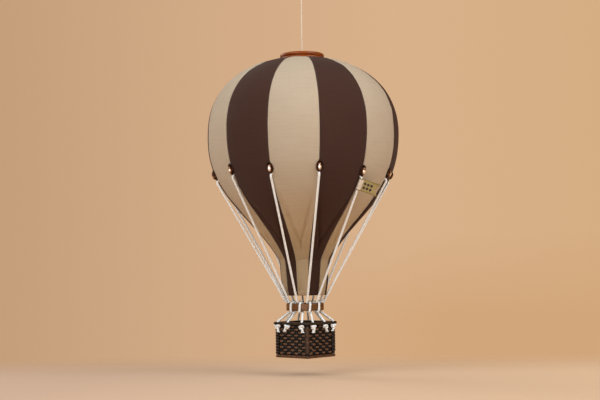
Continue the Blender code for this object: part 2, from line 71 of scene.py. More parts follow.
# The hanging line
# A pale two-ply cotton twine, knotted under the disc in the crown and pulled taut. Its top end is tied into
# a small eye, just above the view, that goes over a hook.
LINE_R = 0.00055
LINE_STEP = 0.0004
LINE_PLY_TURN = 0.0034
LINE_END = 0.3181
LINE_TOP = 0.3928
DISC_UNDERSIDE = 0.3214
DISC_TOP = 0.3234
EYE_BASE = 0.3931
EYE_TALL = 0.010
EYE_WIDE = 0.007
EYE_TIE = 0.0010
WRAP_TURNS = 2.6
WRAP_R = 1.55 * LINE_R
# how far below the disc, and below the eye, each knot starts and ends
STOP_KNOT = (0.0030, 0.0008)
EYE_KNOT = (0.0033, 0.0009)


def around(angle, radius, height):
    """The point at an angle in degrees round the balloon, 0 in front and 90 on the right."""
    turn = math.radians(angle)
    return np.array((radius * math.sin(turn), -radius * math.cos(turn), UNDERSIDE + height))


def smooth_path(corners, step):
    """Points about a step apart on the smooth curve that goes through the corners."""
    corners = np.array(corners, float)
    gaps = np.linalg.norm(np.diff(corners, axis=0), axis=1)
    at = np.concatenate(([0], np.cumsum(gaps)))
    slopes = np.gradient(corners, at, axis=0)
    wanted = np.linspace(0, at[-1], max(2, round(at[-1] / step) + 1))
    k = np.clip(np.searchsorted(at, wanted, "right") - 1, 0, len(gaps) - 1)
    t = ((wanted - at[k]) / gaps[k])[:, None]
    run = gaps[k][:, None]
    ease = t * t * (3 - 2 * t)
    placed = corners[k] * (1 - ease) + corners[k + 1] * ease
    return placed + run * t * (1 - t) * ((1 - t) * slopes[k] - t * slopes[k + 1])


def plied(plies, turn, depth):
    """How thick a plied yarn is round its section, as a share, where its plies make one turn in a length."""

    def share(angle, along):
        return 1 - depth * (1 - np.abs(np.cos(plies / 2 * (angle - 2 * math.pi * along / turn))))

    return share


def sweep(path, wide, deep, way, sides, share=None, number=0):
    """A round or oval bar along a path, as a grid for skin.

    way is where its width lies: at its start, to be carried along, or at each of its points.
    """
    path = np.array(path, float)
    count = len(path)
    along = np.gradient(path, axis=0)
    along /= np.linalg.norm(along, axis=1)[:, None]
    length = np.concatenate(([0], np.cumsum(np.linalg.norm(np.diff(path, axis=0), axis=1))))
    across = np.empty_like(path)
    way = np.array(way, float)
    for i in range(count):
        last = way[i] if way.ndim == 2 else across[i - 1] if i else way
        last = last - along[i] * last.dot(along[i])
        last /= np.linalg.norm(last)
        across[i] = last
    other = np.cross(along, across)
    angle = 2 * math.pi * np.arange(sides + 1) / sides
    size = share(angle[None, :], length[:, None]) if share else np.ones((count, sides + 1))
    wide = np.broadcast_to(wide, (count,))[:, None] * size * np.cos(angle)
    deep = np.broadcast_to(deep, (count,))[:, None] * size * np.sin(angle)
    points = path[:, None] + wide[..., None] * across[:, None] + deep[..., None] * other[:, None]
    places = np.empty((count, sides + 1, 3))
    places[..., 0] = length[:, None] * 1000
    places[..., 1] = angle / (2 * math.pi)
    places[..., 2] = number
    return points[:, :-1], places, "bar"


def skin(name, grids, finish):
    """One smooth mesh from grids of points, placed in the scene with its finish.

    A grid is its points in rows, the pattern place of each in millimetres, and its form: a "cloth" is open, a
    "bar" has rows that are rings and both ends closed, and a "hoop" is a bar whose end rows meet.
    """
    points = []
    corners = []
    starts = []
    places = []
    first = 0
    loop = 0
    for grid, place, form in grids:
        rows, columns = grid.shape[:2]
        number = first + np.arange(rows * columns).reshape(rows, columns)
        if form != "cloth":
            number = np.column_stack((number, number[:, 0]))
        if form == "hoop":
            number = np.vstack((number, number[:1]))
        quads = np.stack((number[:-1, :-1], number[:-1, 1:], number[1:, 1:], number[1:, :-1]), -1)
        spots = np.stack((place[:-1, :-1], place[:-1, 1:], place[1:, 1:], place[1:, :-1]), -2)
        corners.append(quads.ravel())
        places.append(spots.reshape(-1, 3))
        starts.append(loop + np.arange(quads.size // 4) * 4)
        loop += quads.size
        if form == "bar":
            corners += [number[0, -2::-1], number[-1, :-1]]
            places += [place[0, -2::-1], place[-1, :-1]]
            starts += [np.array([loop]), np.array([loop + columns])]
            loop += 2 * columns
        points.append(grid.reshape(-1, 3))
        first += rows * columns
    mesh = bpy.data.meshes.new(name)
    mesh.vertices.add(first)
    mesh.vertices.foreach_set("co", np.concatenate(points).astype(np.float32).ravel())
    mesh.loops.add(loop)
    mesh.loops.foreach_set("vertex_index", np.concatenate(corners).astype(np.int32))
    starts = np.concatenate(starts).astype(np.int32)
    mesh.polygons.add(len(starts))
    mesh.polygons.foreach_set("loop_start", starts)
    mesh.update(calc_edges=True)
    pattern = mesh.attributes.new("place", "FLOAT_VECTOR", "CORNER")
    pattern.data.foreach_set("vector", np.concatenate(places).astype(np.float32).ravel())
    mesh.shade_smooth()
    mesh.set_sharp_from_angle(angle=math.radians(50))
    mesh.materials.append(finish)
    made = bpy.data.objects.new(name, mesh)
    bpy.context.scene.collection.objects.link(made)
    return made


def srgb(value):
    """The linear colour of an sRGB hex value."""
    steps = [int(value[i : i + 2], 16) / 255 for i in (0, 2, 4)]
    return (*[s / 12.92 if s <= 0.04045 else ((s + 0.055) / 1.055) ** 2.4 for s in steps], 1)


def give(tree, node, inputs):
    """Gives a node's inputs a value each, or a link from a socket or from another node's first output."""
    for socket, value in inputs.items():
        if isinstance(value, bpy.types.Node):
            value = value.outputs[0]
        if isinstance(value, bpy.types.NodeSocket):
            tree.links.new(value, node.inputs[socket])
        else:
            node.inputs[socket].default_value = value


def add(tree, kind, inputs=None, stops=(), **settings):
    """Adds a node with its settings, what its inputs take and, for a ramp, its places and sRGB colours."""
    made = tree.nodes.new("ShaderNode" + kind)
    for name, value in settings.items():
        setattr(made, name, value)
    for i, (place, color) in enumerate(stops):
        stop = made.color_ramp.elements[i] if i < 2 else made.color_ramp.elements.new(place)
        stop.position = place
        stop.color = srgb(color)
    give(tree, made, inputs or {})
    return made


def new_finish(name, roughness, **even):
    """A material with its roughness and other even values on its shader, and the node tree to add to."""
    made = bpy.data.materials.new(name)
    made.use_nodes = True
    shader = made.node_tree.nodes["Principled BSDF"]
    shader.inputs["Roughness"].default_value = roughness
    give(made.node_tree, shader, {socket.replace("_", " "): value for socket, value in even.items()})
    return made, made.node_tree, shader


def cotton_yarn(name, color, shade, fibre):
    """Plied cotton: soft and dull, with fine fibres that run along the plies and a fuzz that catches light.

    A faint glow stands for the light that comes through between the fibres.
    """
    made, tree, shader = new_finish(
        name,
        0.85,
        Sheen_Weight=0.8,
        Sheen_Roughness=0.6,
        Specular_IOR_Level=0.2,
        Emission_Color=(1, 0.94, 0.86, 1),
        Emission_Strength=0.03,
    )
    place = add(tree, "Attribute", attribute_name="place")
    stretched = add(tree, "Mapping", {0: place.outputs["Vector"], 3: (0.5, 14, 3.7)})
    fibres = add(tree, "TexNoise", {"Vector": stretched, "Scale": 1 / fibre, "Detail": 3})
    spots = add(tree, "TexNoise", {"Scale": 90, "Detail": 2})
    mixed = add(tree, "Math", {0: fibres, 1: spots}, operation="ADD")
    tint = add(tree, "ValToRGB", {0: mixed}, ((0.62, shade), (1, color)))
    bump = add(tree, "Bump", {"Height": fibres, "Strength": 0.3, "Distance": fibre / 8000})
    give(tree, shader, {"Base Color": tint, "Normal": bump})
    return made


def wrapped_knot(low, high):
    """The path of a small wrapped knot in the line, which winds round the upright axis from low to high."""
    path = []
    count = 40
    for i in range(count + 1):
        share = i / count
        tuck = min(1, 6 * share, 6 * (1 - share))
        turn = 2 * math.pi * WRAP_TURNS * share
        out = WRAP_R * (0.3 + 0.7 * tuck)
        path.append((out * math.cos(turn), out * math.sin(turn), low + (high - low) * share))
    return np.array(path)


line_cotton = cotton_yarn("cotton_twine_pale", "efe7da", "b9ab98", 0.5)
line_ply = plied(2, LINE_PLY_TURN, 0.25)
line_path = smooth_path([(0, 0, UNDERSIDE + LINE_END), (0, 0, UNDERSIDE + LINE_TOP)], LINE_STEP)
line = skin("hanging_line", [sweep(line_path, LINE_R, LINE_R, (1, 0, 0), 12, line_ply)], line_cotton)
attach(line, "hanger")
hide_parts("hang_line")
for name, above, (start, end) in (
    ("hanging_line_stop_knot", DISC_UNDERSIDE, STOP_KNOT),
    ("hanging_line_eye_knot", EYE_BASE, EYE_KNOT),
):
    winding = wrapped_knot(UNDERSIDE + above - start, UNDERSIDE + above - end)
    knot = skin(name, [sweep(winding, LINE_R * 0.95, LINE_R * 0.95, (0, 0, 1), 12, line_ply)], line_cotton)
    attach(knot, "hanger")
eye_corners = []
for i in range(25):
    turn = math.pi * (i / 12 - 1)
    narrow = 1 - 0.35 * (1 - math.cos(turn)) / 2
    across = (EYE_WIDE / 2 - LINE_R) * math.sin(turn) * narrow
    rise = EYE_TALL / 2 + (EYE_TALL / 2 - LINE_R) * math.cos(turn)
    apart = LINE_R * 0.7 * math.sin(turn / 2)
    eye_corners.append((across, apart, UNDERSIDE + EYE_BASE + rise))
eye_corners.insert(0, (-LINE_R, -LINE_R, UNDERSIDE + EYE_BASE - EYE_TIE))
eye_corners.append((LINE_R, LINE_R, UNDERSIDE + EYE_BASE - EYE_TIE))
eye = skin(
    "hanging_line_eye",
    [sweep(smooth_path(eye_corners, LINE_STEP), LINE_R, LINE_R, (0, 1, 0), 12, line_ply)],
    line_cotton,
)
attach(eye, "hanger")
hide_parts("hang_loop")


# The gores
# Twelve panels of plain-woven cotton, dark brown and beige in turn, are sewn edge to edge and turned so that
# their allowances lie inside. The filling pushes each panel out a little, and the seams pull it in.
GORES = 12
GORE_TURN = 30.0
FIRST_SEAM = 9.4
GAP = 0.0003
PUFF = 0.03
EQUATOR_R = 0.103
EQUATOR_Z = 0.239
CROWN_R = 0.0241
CROWN_RISE = 0.0842
CROWN_ROUNDNESS = 2.26
CLOTH_START = 0.0006
WAIST_R = 0.0286
WAIST_Z = 0.106
MOUTH_R = 0.0224
MOUTH_Z = 0.0663
CLOTH_THICKNESS = 0.0005
ROW_STEP = 0.0015
HALF_COLUMNS = 25
COLUMN_CROWDING = 1.6
SEAM_ROLL = 0.0009
# the puckers that a seam's thread draws up, and the slower swells that reach further in
PUCKER_LENGTH = 0.0046
PUCKER_DEEP = 0.00022
PUCKER_REACH = 0.0022
SWELL_DEEP = 0.0005
SWELL_REACH = 0.008
# the slow unevenness of the filling: how deep, and how far apart
UNEVEN_DEEP = 0.0005
UNEVEN_PITCH = 0.034
HEM_TALL = 0.0045
HEM_THICK = 0.0002
HEM_STEP = 0.0006
# Two slack folds run down each panel to a point above the neck, and fade in and out over these heights. In
# millimetres, they lie FOLD_SPREAD off its middle at their top and are FOLD_WIDE wide at their foot. A
# shallow crease crosses the waist.
FOLD_TOP = 0.174
FOLD_FOOT = 0.122
FOLD_END = 0.113
FOLD_FADES = (0.022, 0.012)
FOLD_DEEP = 0.0024
FOLD_VARIES = 0.0006
FOLD_SPREAD = 20
FOLD_WIDE = 1.5
CREASE_Z = WAIST_Z - 0.002
CREASE_DEEP = 0.0007
# the shares of red, green and blue that the cloth keeps under the painted warm bounce light near the neck
WARM_BOUNCE_SHARES = (0.98, 0.86, 0.68, 1)
BODY_CURVE = (
    (EQUATOR_R, EQUATOR_Z),
    (EQUATOR_R, EQUATOR_Z - 0.0672),
    (WAIST_R + 0.0294, WAIST_Z + 0.0500),
    (WAIST_R, WAIST_Z),
)
NECK_CURVE = (
    (WAIST_R, WAIST_Z),
    (WAIST_R - 0.0032, WAIST_Z - 0.0055),
    (MOUTH_R + 0.0036, MOUTH_Z + 0.0150),
    (MOUTH_R, MOUTH_Z),
)


def bezier(corners, share):
    """The points at shares from 0 to 1 along the cubic curve of four corners."""
    share = np.asarray(share, float)[..., None]
    left = 1 - share
    a, b, c, d = (np.array(p) for p in corners)
    return a * left**3 + 3 * b * left**2 * share + 3 * c * left * share**2 + d * share**3


def meridian():
    """The outline of the envelope as radius and height, from the mouth up, about a row's step apart."""
    start = math.asin(((CROWN_R + CLOTH_START) / EQUATOR_R) ** (CROWN_ROUNDNESS / 2))
    turn = np.linspace(start, math.pi / 2, 300)
    crown = np.column_stack(
        (
            EQUATOR_R * np.sin(turn) ** (2 / CROWN_ROUNDNESS),
            EQUATOR_Z + CROWN_RISE * np.abs(np.cos(turn)) ** (2 / CROWN_ROUNDNESS),
        )
    )
    body = bezier(BODY_CURVE, np.linspace(0, 1, 300))
    neck = bezier(NECK_CURVE, np.linspace(0, 1, 100))
    fine = np.concatenate((crown[:-1], body[:-1], neck))[::-1]
    at = np.concatenate(([0], np.cumsum(np.linalg.norm(np.diff(fine, axis=0), axis=1))))
    rows = np.linspace(0, at[-1], round(at[-1] / ROW_STEP) + 1)
    return np.column_stack((np.interp(rows, at, fine[:, 0]), np.interp(rows, at, fine[:, 1]))), rows


def seam_ripple(seam, along):
    """How far the cloth lifts or sinks beside a seam that its thread has drawn up, along its length."""
    seam = seam % GORES
    fine = math.sin(along / PUCKER_LENGTH * 2 * math.pi + 3 * noise.noise((along / 0.021, seam * 7.3, 0.5)))
    fine *= 0.5 + 0.9 * noise.noise((along / 0.013, seam * 3.1, 4.5))
    broad = noise.noise((along / 0.011, seam * 5.7, 8.5))
    return fine, broad


def gore_grid(index):
    """The outer face of a gore, with its puff, seams, ripples and slack folds."""
    outline, rows = meridian()
    step = np.gradient(outline, axis=0)
    step /= np.linalg.norm(step, axis=1)[:, None]
    outward = np.column_stack((step[:, 1], -step[:, 0]))
    share = np.linspace(0, 1, HALF_COLUMNS) ** COLUMN_CROWDING
    across = np.concatenate((share - 1, 1 - share[-2::-1]))
    middle = FIRST_SEAM + GORE_TURN * (index + 0.5)
    points = np.empty((len(rows), len(across), 3))
    places = np.empty((len(rows), len(across), 3))
    folding = noise.noise((index * 9.7, 0.3, 0.7))
    for i, along in enumerate(rows):
        radius, height = outline[i]
        half = math.pi / GORES * radius - GAP / 2
        sideways = across * half * 1000
        lift = PUFF * math.sin(math.pi / GORES) * radius * (1 - across**2)
        roll = min(SEAM_ROLL, half / 6)
        for distance, seam in (((across + 1) * half, index), ((1 - across) * half, index + 1)):
            fine, broad = seam_ripple(seam, along)
            edge = np.clip(1 - distance / roll, 0, 1)
            lift -= roll * (1 - np.sqrt(1 - edge**2))
            lift += PUCKER_DEEP * fine * np.exp(-distance / PUCKER_REACH)
            lift += SWELL_DEEP * broad * np.exp(-distance / SWELL_REACH)
        opened = np.clip((height - FOLD_FOOT) / (FOLD_TOP - FOLD_FOOT), 0, 1)
        strength = np.clip((FOLD_TOP - height) / FOLD_FADES[0], 0, 1)
        strength *= np.clip((height - FOLD_END) / FOLD_FADES[1], 0, 1)
        for side in (-1, 1):
            far = (sideways - side * FOLD_SPREAD * opened * (1 + 0.1 * folding)) / (FOLD_WIDE + opened)
            lift -= (FOLD_DEEP + FOLD_VARIES * folding) * strength * np.exp(-(far**2))
        crease = (height - CREASE_Z) * 1000 - sideways * (0.45 + 0.5 * folding)
        lift -= CREASE_DEEP * np.exp(-(crease**2)) * np.clip(1.3 - np.abs(across), 0, 1)
        lift += HEM_THICK * np.clip((MOUTH_Z + HEM_TALL - height) / HEM_STEP, 0, 1)
        for j, turn in enumerate(across * half / radius):
            angle = middle + math.degrees(turn)
            spot = around(angle, radius, height)
            soft = UNEVEN_DEEP * noise.noise(Vector(spot) / UNEVEN_PITCH) * min(1, half / 0.02)
            direction = around(angle, outward[i, 0], outward[i, 1] - UNDERSIDE)
            points[i, j] = spot + direction * (lift[j] + soft)
        places[i, :, 0] = sideways
        places[i, :, 1] = along * 1000
        places[i, :, 2] = index
    flat_area = sum((2 * math.pi / GORES * outline[:, 0]) * ROW_STEP)
    return points, places, flat_area, rows[-1]


def woven_cotton(name, color, shade, thread):
    """Plain-woven cotton, dyed in the piece: dull, with crossing threads, slubs and an even, short fuzz.

    It is darker towards the neck, and painted warm bounce light tints it yellow there and just above.
    """
    made, tree, shader = new_finish(
        name, 0.9, Sheen_Weight=0.06, Sheen_Roughness=0.5, Specular_IOR_Level=0.12
    )
    place = add(tree, "Attribute", attribute_name="place")
    axes = add(tree, "SeparateXYZ", {0: place.outputs["Vector"]})
    waves = []
    for axis in (0, 1):
        turned = add(tree, "Math", {0: axes.outputs[axis], 1: 2 * math.pi / thread}, operation="MULTIPLY")
        waves.append(add(tree, "Math", {0: turned}, operation="SINE"))
    weave = add(tree, "Math", {0: waves[0], 1: waves[1]}, operation="MULTIPLY")
    weft = add(tree, "Mapping", {0: place.outputs["Vector"], 3: (0.05, 1.3, 5.3)})
    weft_slubs = add(tree, "TexNoise", {"Vector": weft, "Scale": 1, "Detail": 3})
    warp = add(tree, "Mapping", {0: place.outputs["Vector"], 3: (1.3, 0.03, 5.3)})
    warp_slubs = add(tree, "TexNoise", {"Vector": warp, "Scale": 1, "Detail": 3})
    fainter = add(tree, "MapRange", {0: warp_slubs, 3: 0.3, 4: 0.7})
    slubs = add(tree, "Math", {0: weft_slubs, 1: fainter}, operation="ADD")
    toned = add(tree, "Math", {0: weave, 1: 0.06, 2: slubs}, operation="MULTIPLY_ADD")
    tint = add(tree, "ValToRGB", {0: toned}, ((0.55, shade), (1, color)))
    # the colour is made darker towards the neck, over the lowest 80 mm along the gore
    darker_toward_neck = add(tree, "MapRange", {0: axes.outputs[1], 1: 38, 2: 80, 3: 0.78, 4: 1.0})
    deeper = add(tree, "VectorMath", {0: tint, 1: darker_toward_neck}, operation="MULTIPLY")
    # painted light: warm bounce light from below, painted as a yellow tint that grows towards the neck
    toward_neck = add(tree, "MapRange", {0: axes.outputs[1], 1: 135, 2: 55})
    warm_bounce = add(tree, "Mix", {0: toward_neck, 6: (1, 1, 1, 1), 7: WARM_BOUNCE_SHARES}, data_type="RGBA")
    warm_bounce_tinted = add(tree, "VectorMath", {0: deeper, 1: warm_bounce.outputs[2]}, operation="MULTIPLY")
    raised = add(tree, "Math", {0: slubs, 1: 0.8, 2: weave}, operation="MULTIPLY_ADD")
    bump = add(tree, "Bump", {"Height": raised, "Strength": 0.35, "Distance": thread / 8000})
    give(tree, shader, {"Base Color": warm_bounce_tinted, "Normal": bump})
    return made


# The real threads are half a millimetre apart. They are drawn 0.9 mm apart, so that they show.
brown_cotton = woven_cotton("plain_woven_cotton_brown", "452f27", "3a251e", 0.9)
beige_cotton = woven_cotton("plain_woven_cotton_beige", "c4b7a2", "b5a78f", 0.9)
for i in range(GORES):
    points, places, flat_area, long = gore_grid(i)
    colour, finish = (("brown", brown_cotton), ("beige", beige_cotton))[i % 2]
    gore = skin(f"gore_panel_{i + 1:02d}", [(points, places, "cloth")], finish)
    cloth = gore.modifiers.new("cloth", "SOLIDIFY")
    cloth.thickness = CLOTH_THICKNESS
    cloth.offset = -1
    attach(gore, "balloon")
    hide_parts(f"gore_{i + 1:02d}")


# The seam stitches
# Brown sewing thread shows as a short slanting stitch across each seam, where the filling has pulled the two
# edges a little apart. The real stitches are finer, and these are as coarse as they need to be to show.
STITCH_PITCH = 0.0024
STITCH_R = 0.0002
STITCH_REACH = 0.0010
STITCH_SLANT = 0.0005
STITCH_DEPTH = 0.0002
STITCH_DIP = 0.0004
thread_brown = cotton_yarn("sewing_thread_brown", "5b4034", "3b251d", 0.3)
seam_outline, seam_rows = meridian()
for i in range(GORES):
    seam = FIRST_SEAM + GORE_TURN * i
    stitches = []
    count = int(seam_rows[-1] / STITCH_PITCH)
    for k in range(1, count - 1):
        route = []
        for part in (-1, -0.6, 0, 0.6, 1):
            along = (k + 0.5) * STITCH_PITCH + part * STITCH_SLANT
            radius = np.interp(along, seam_rows, seam_outline[:, 0])
            height = np.interp(along, seam_rows, seam_outline[:, 1])
            sink = STITCH_DEPTH + STITCH_DIP * part**2
            turn = math.degrees(part * STITCH_REACH / radius)
            route.append(around(seam + turn, radius - sink, height))
        stitches.append(sweep(route, STITCH_R, STITCH_R, (0, 0, 1), 5, None, k))
    piece = skin(f"seam_stitches_{i + 1:02d}", stitches, thread_brown)
    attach(piece, "balloon")


# The crown ring and its disc
# A turned curtain ring of close-grained wood, stained orange-brown and varnished to a gloss, with a groove
# round its middle. The cloth is glued under it, and a thin plywood disc with a hole for the line closes it.
CROWN_BASE_Z = 0.3204
CROWN_HEIGHT = 0.0080
CROWN_HOLE_R = 0.0195
CROWN_EDGE = 0.0009
CROWN_BULGE = 0.0016
HOOP_STEPS = 192
DISC_HOLE_R = 0.0009
DISC_EDGE = 0.0002


def lathe(profile, steps):
    """A closed profile of radius and height, down its outer side first, turned round the balloon's axis."""
    profile = np.array(profile)
    points = np.array([[around(360 * i / steps, r, z) for r, z in profile] for i in range(steps)])
    run = np.concatenate(([0], np.cumsum(np.linalg.norm(np.diff(profile, axis=0), axis=1)), [0]))
    run[-1] = run[-2] + np.linalg.norm(profile[0] - profile[-1])
    places = np.empty((steps + 1, len(profile) + 1, 3))
    places[..., 0] = (np.arange(steps + 1) / steps * 2 * math.pi * profile[:, 0].max() * 1000)[:, None]
    places[..., 1] = run * 1000
    places[..., 2] = 0
    return points, places, "hoop"


def arc(middle, wide, tall, start, end, count):
    """Points on an oval arc in the profile plane, from one angle to another, 0 outwards and 90 up."""
    turns = np.radians(np.linspace(start, end, count))
    return [(middle[0] + wide * math.cos(t), middle[1] + tall * math.sin(t)) for t in turns]


def stained_wood(name, light, dark, roughness, grain, coat):
    """Close-grained wood, stained and finished: long darker pores along the grain under a clear coat."""
    made, tree, shader = new_finish(
        name, roughness, Coat_Weight=coat, Coat_Roughness=0.08, IOR=1.5, Specular_IOR_Level=0.3
    )
    place = add(tree, "Attribute", attribute_name="place")
    across = add(tree, "Mapping", {0: place.outputs["Vector"], 3: (0.1, 1, 1)})
    rings = add(tree, "TexNoise", {"Vector": across, "Scale": 1 / grain, "Detail": 5})
    pores = add(tree, "TexNoise", {"Vector": across, "Scale": 4 / grain, "Detail": 2})
    stain = add(tree, "TexNoise", {"Scale": 130, "Detail": 2})
    grains = add(tree, "Math", {0: pores, 1: 0.5, 2: rings}, operation="MULTIPLY_ADD")
    mixed = add(tree, "Math", {0: stain, 1: 0.5, 2: grains}, operation="MULTIPLY_ADD")
    tint = add(tree, "ValToRGB", {0: mixed}, ((0.75, dark), (1, light)))
    bump = add(tree, "Bump", {"Height": grains, "Strength": 0.25, "Distance": 0.0001})
    give(tree, shader, {"Base Color": tint, "Normal": bump})
    return made


half_bead = CROWN_HEIGHT / 4
crown_profile = []
for base in (CROWN_BASE_Z + 3 * half_bead, CROWN_BASE_Z + half_bead):
    crown_profile += arc((CROWN_R - CROWN_BULGE, base), CROWN_BULGE, half_bead * 0.97, 80, -80, 15)
for height, start in ((CROWN_BASE_Z + CROWN_EDGE, -90), (CROWN_BASE_Z + CROWN_HEIGHT - CROWN_EDGE, 180)):
    crown_profile += arc((CROWN_HOLE_R + CROWN_EDGE, height), CROWN_EDGE, CROWN_EDGE, start, start - 90, 6)
crown_wood = stained_wood("turned_beech_orange_stain_gloss", "9a4c13", "5a2a0f", 0.38, 1.4, 0.12)
crown = skin("crown_hoop", [lathe(crown_profile, HOOP_STEPS)], crown_wood)
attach(crown, "balloon")
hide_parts("crown_ring")
disc_r = CROWN_HOLE_R - GAP
disc_profile = [(DISC_HOLE_R, DISC_TOP), (disc_r * 0.5, DISC_TOP), (disc_r - DISC_EDGE, DISC_TOP)]
disc_profile += [(disc_r, DISC_TOP - DISC_EDGE), (disc_r, DISC_UNDERSIDE), (DISC_HOLE_R, DISC_UNDERSIDE)]
plywood = stained_wood("birch_plywood_oiled", "8a5a35", "684023", 0.5, 2.4, 0.0)
# its grain runs straight across, so a place on it is simply where it lies
points, places, form = lathe(disc_profile, 96)
places[:-1, :-1, :2] = points[..., :2] * 1000
places[-1] = places[0]
places[:, -1] = places[:, 0]
disc = skin("crown_plywood_disc", [(points, places, form)], plywood)
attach(disc, "balloon")
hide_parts("crown_disc")


# The buttons
# Oval pressed-brass buttons, copper plated and aged, with a rolled rim round a polished dome. Each is sewn
# on a seam over the end of a cord.
BUTTON_Z = 0.197
# how far each button sits above that height
BUTTON_LIFTS = (
    0.0012, -0.0024, -0.0020, -0.0006, 0.0005, -0.0008,
    0.0007, 0.0003, -0.0005, -0.0009, 0.0016, 0.0004,
)
BUTTON_WIDTH = 0.0069
BUTTON_TALL = 0.0124
BUTTON_DOME = 0.0043
BUTTON_STANDOFF = 0.0005
BUTTON_STEPS = 56
BUTTON_RIM = 0.0013
BUTTON_GROOVE = 0.0006
# how far out the dome and the groove end, and the rim's middle and half its width, as shares of the button
DOME_SHARE = 0.80
GROOVE_SHARE = 0.83
RIM_SHARE = 0.925
RIM_HALF_SHARE = 0.075
# how far out the dome is painted bright, as a painted highlight
PAINTED_HIGHLIGHT_SHARE = 0.82
BUTTON_BACK = 0.00005


def body_at(height):
    """The radius of the envelope's lower body at a height, and its outward way as radius and height."""
    curve = bezier(BODY_CURVE, np.linspace(0, 1, 2000))
    k = int(np.argmin(np.abs(curve[:, 1] - height)))
    step = curve[min(k + 1, len(curve) - 1)] - curve[max(k - 1, 0)]
    return curve[k, 0], np.array((-step[1], step[0])) / np.linalg.norm(step)


def button_profile():
    """The button's section from its middle out over the dome, groove and rim, and back underneath."""
    profile = []
    for k in range(15):
        turn = math.radians(2 + 86 * k / 14)
        rise = BUTTON_GROOVE + (BUTTON_DOME - BUTTON_GROOVE) * (1 - math.sin(turn) ** 2.3) ** 0.6
        profile.append((DOME_SHARE * math.sin(turn), rise))
    profile.append((GROOVE_SHARE, BUTTON_GROOVE))
    for turn in np.radians(range(160, -81, -30)):
        profile.append((RIM_SHARE + RIM_HALF_SHARE * math.cos(turn), BUTTON_RIM / 2 * (1 + math.sin(turn))))
    return profile + [(0.5, BUTTON_BACK), (0.02, BUTTON_BACK)]


def aged_copper(name, bright, middle, dark):
    """Copper-plated brass with sharp, warm reflections: a painted highlight makes its dome near white, and
    the groove and rim are dark, partly aged patina and partly painted shade.
    """
    made, tree, shader = new_finish(name, 0.2, Metallic=1.0)
    place = add(tree, "Attribute", attribute_name="place")
    axes = add(tree, "SeparateXYZ", {0: place.outputs["Vector"]})
    blotch = add(tree, "TexNoise", {"Scale": 420, "Detail": 4})
    highlight_and_mottle = add(tree, "Math", {0: blotch, 1: 0.35, 2: axes.outputs[2]}, operation="MULTIPLY_ADD")
    tint = add(tree, "ValToRGB", {0: highlight_and_mottle}, ((0.25, dark), (0.65, middle), (1, bright)))
    dull = add(tree, "MapRange", {0: highlight_and_mottle, 1: 0.2, 2: 1.0, 3: 0.4, 4: 0.22})
    give(tree, shader, {"Base Color": tint, "Roughness": dull})
    return made


copper = aged_copper("pressed_brass_copper_plated_aged", "fffaf4", "84583c", "1d110b")
profile = button_profile()
steps = 2 * math.pi * np.arange(BUTTON_STEPS + 1) / BUTTON_STEPS
for i in range(GORES):
    height = BUTTON_Z + BUTTON_LIFTS[i]
    radius, outward = body_at(height)
    seam = FIRST_SEAM + GORE_TURN * i
    base = around(seam, radius + outward[0] * BUTTON_STANDOFF, height + outward[1] * BUTTON_STANDOFF)
    sideways = around(seam + 90, 1, -UNDERSIDE)
    out = around(seam, outward[0], outward[1] - UNDERSIDE)
    up = np.cross(out, sideways)
    grid = np.empty((len(profile), BUTTON_STEPS + 1, 3))
    places = np.zeros((len(profile), BUTTON_STEPS + 1, 3))
    for k, (share, rise) in enumerate(profile):
        wide = share * BUTTON_WIDTH / 2 * np.cos(steps)
        tall = share * BUTTON_TALL / 2 * np.sin(steps)
        grid[k] = base + out * rise - wide[:, None] * sideways + tall[:, None] * up
        # a painted highlight, near white in the dome's middle; the groove and rim get the dark end, partly
        # aged patina and partly painted shade
        if share < PAINTED_HIGHLIGHT_SHARE:
            places[k, :, 2] = (1 - (share / PAINTED_HIGHLIGHT_SHARE) ** 2) ** 1.3
        else:
            places[k, :, 2] = 0.2 * rise / BUTTON_RIM
    button = skin(f"copper_button_{i + 1:02d}", [(grid[:, :-1], places, "bar")], copper)
    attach(button, "balloon")
    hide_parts(f"button_{i + 1:02d}")


# The load ring
# A plain hoop of mid-brown wood with rounded edges and a satin finish, which gathers the twelve cords under
# the mouth. It hangs in the cords, which go round it.
RING_R = 0.0202
RING_WALL = 0.004
RING_BASE_Z = 0.0499
RING_HEIGHT = 0.0076
RING_EDGE = 0.0009


def rounded_section(inner, outer, low, high, edge, count):
    """The section of a hoop with rounded edges, down its outer side first, with count points to an edge."""
    section = []
    for out, height, start in (
        (outer - edge, high - edge, 90),
        (outer - edge, low + edge, 0),
        (inner + edge, low + edge, -90),
        (inner + edge, high - edge, -180),
    ):
        section += arc((out, height), edge, edge, start, start - 90, count)
    return section


ring_profile = rounded_section(
    RING_R - RING_WALL, RING_R, RING_BASE_Z, RING_BASE_Z + RING_HEIGHT, RING_EDGE, 7
)
ring_wood = stained_wood("bent_ash_brown_stain_satin", "75491c", "2f1b08", 0.5, 1.8, 0.05)
ring = skin("load_hoop", [lathe(ring_profile, HOOP_STEPS)], ring_wood)
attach(ring, "balloon")
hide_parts("load_ring")


# The cords
# Twelve cream three-ply cotton cords come out of the seams under the buttons, go round the load ring, down
# through the basket's rim, and end in an overhand knot with a frayed tail.
CORD_R = 0.0012
CORD_STEP = 0.0006
CORD_PLY_TURN = 0.0062
CORD_BELOW_BUTTON = 0.0068
CORD_TOP_OFF = 0.0027
ARRIVE_R = 0.0210
ARRIVE_RISE = 0.0024
# a cord's way round the ring: where it starts beside its seam and how far it drifts in a turn, in degrees,
# the points in a turn, and the points that it takes before it leaves for the basket
TURN_START = -3.2
TURN_DRIFT = 10.4
TURN_STEPS = 12
TURN_LENGTH = 17
BEND_RISE = 0.0008
# how far above its straight run's top, and how much nearer the cloth, a cord is as it comes out
CORD_EMERGING = ((0.0018, 0.0034), (0.0008, 0.0018), (0.0, 0.0007))
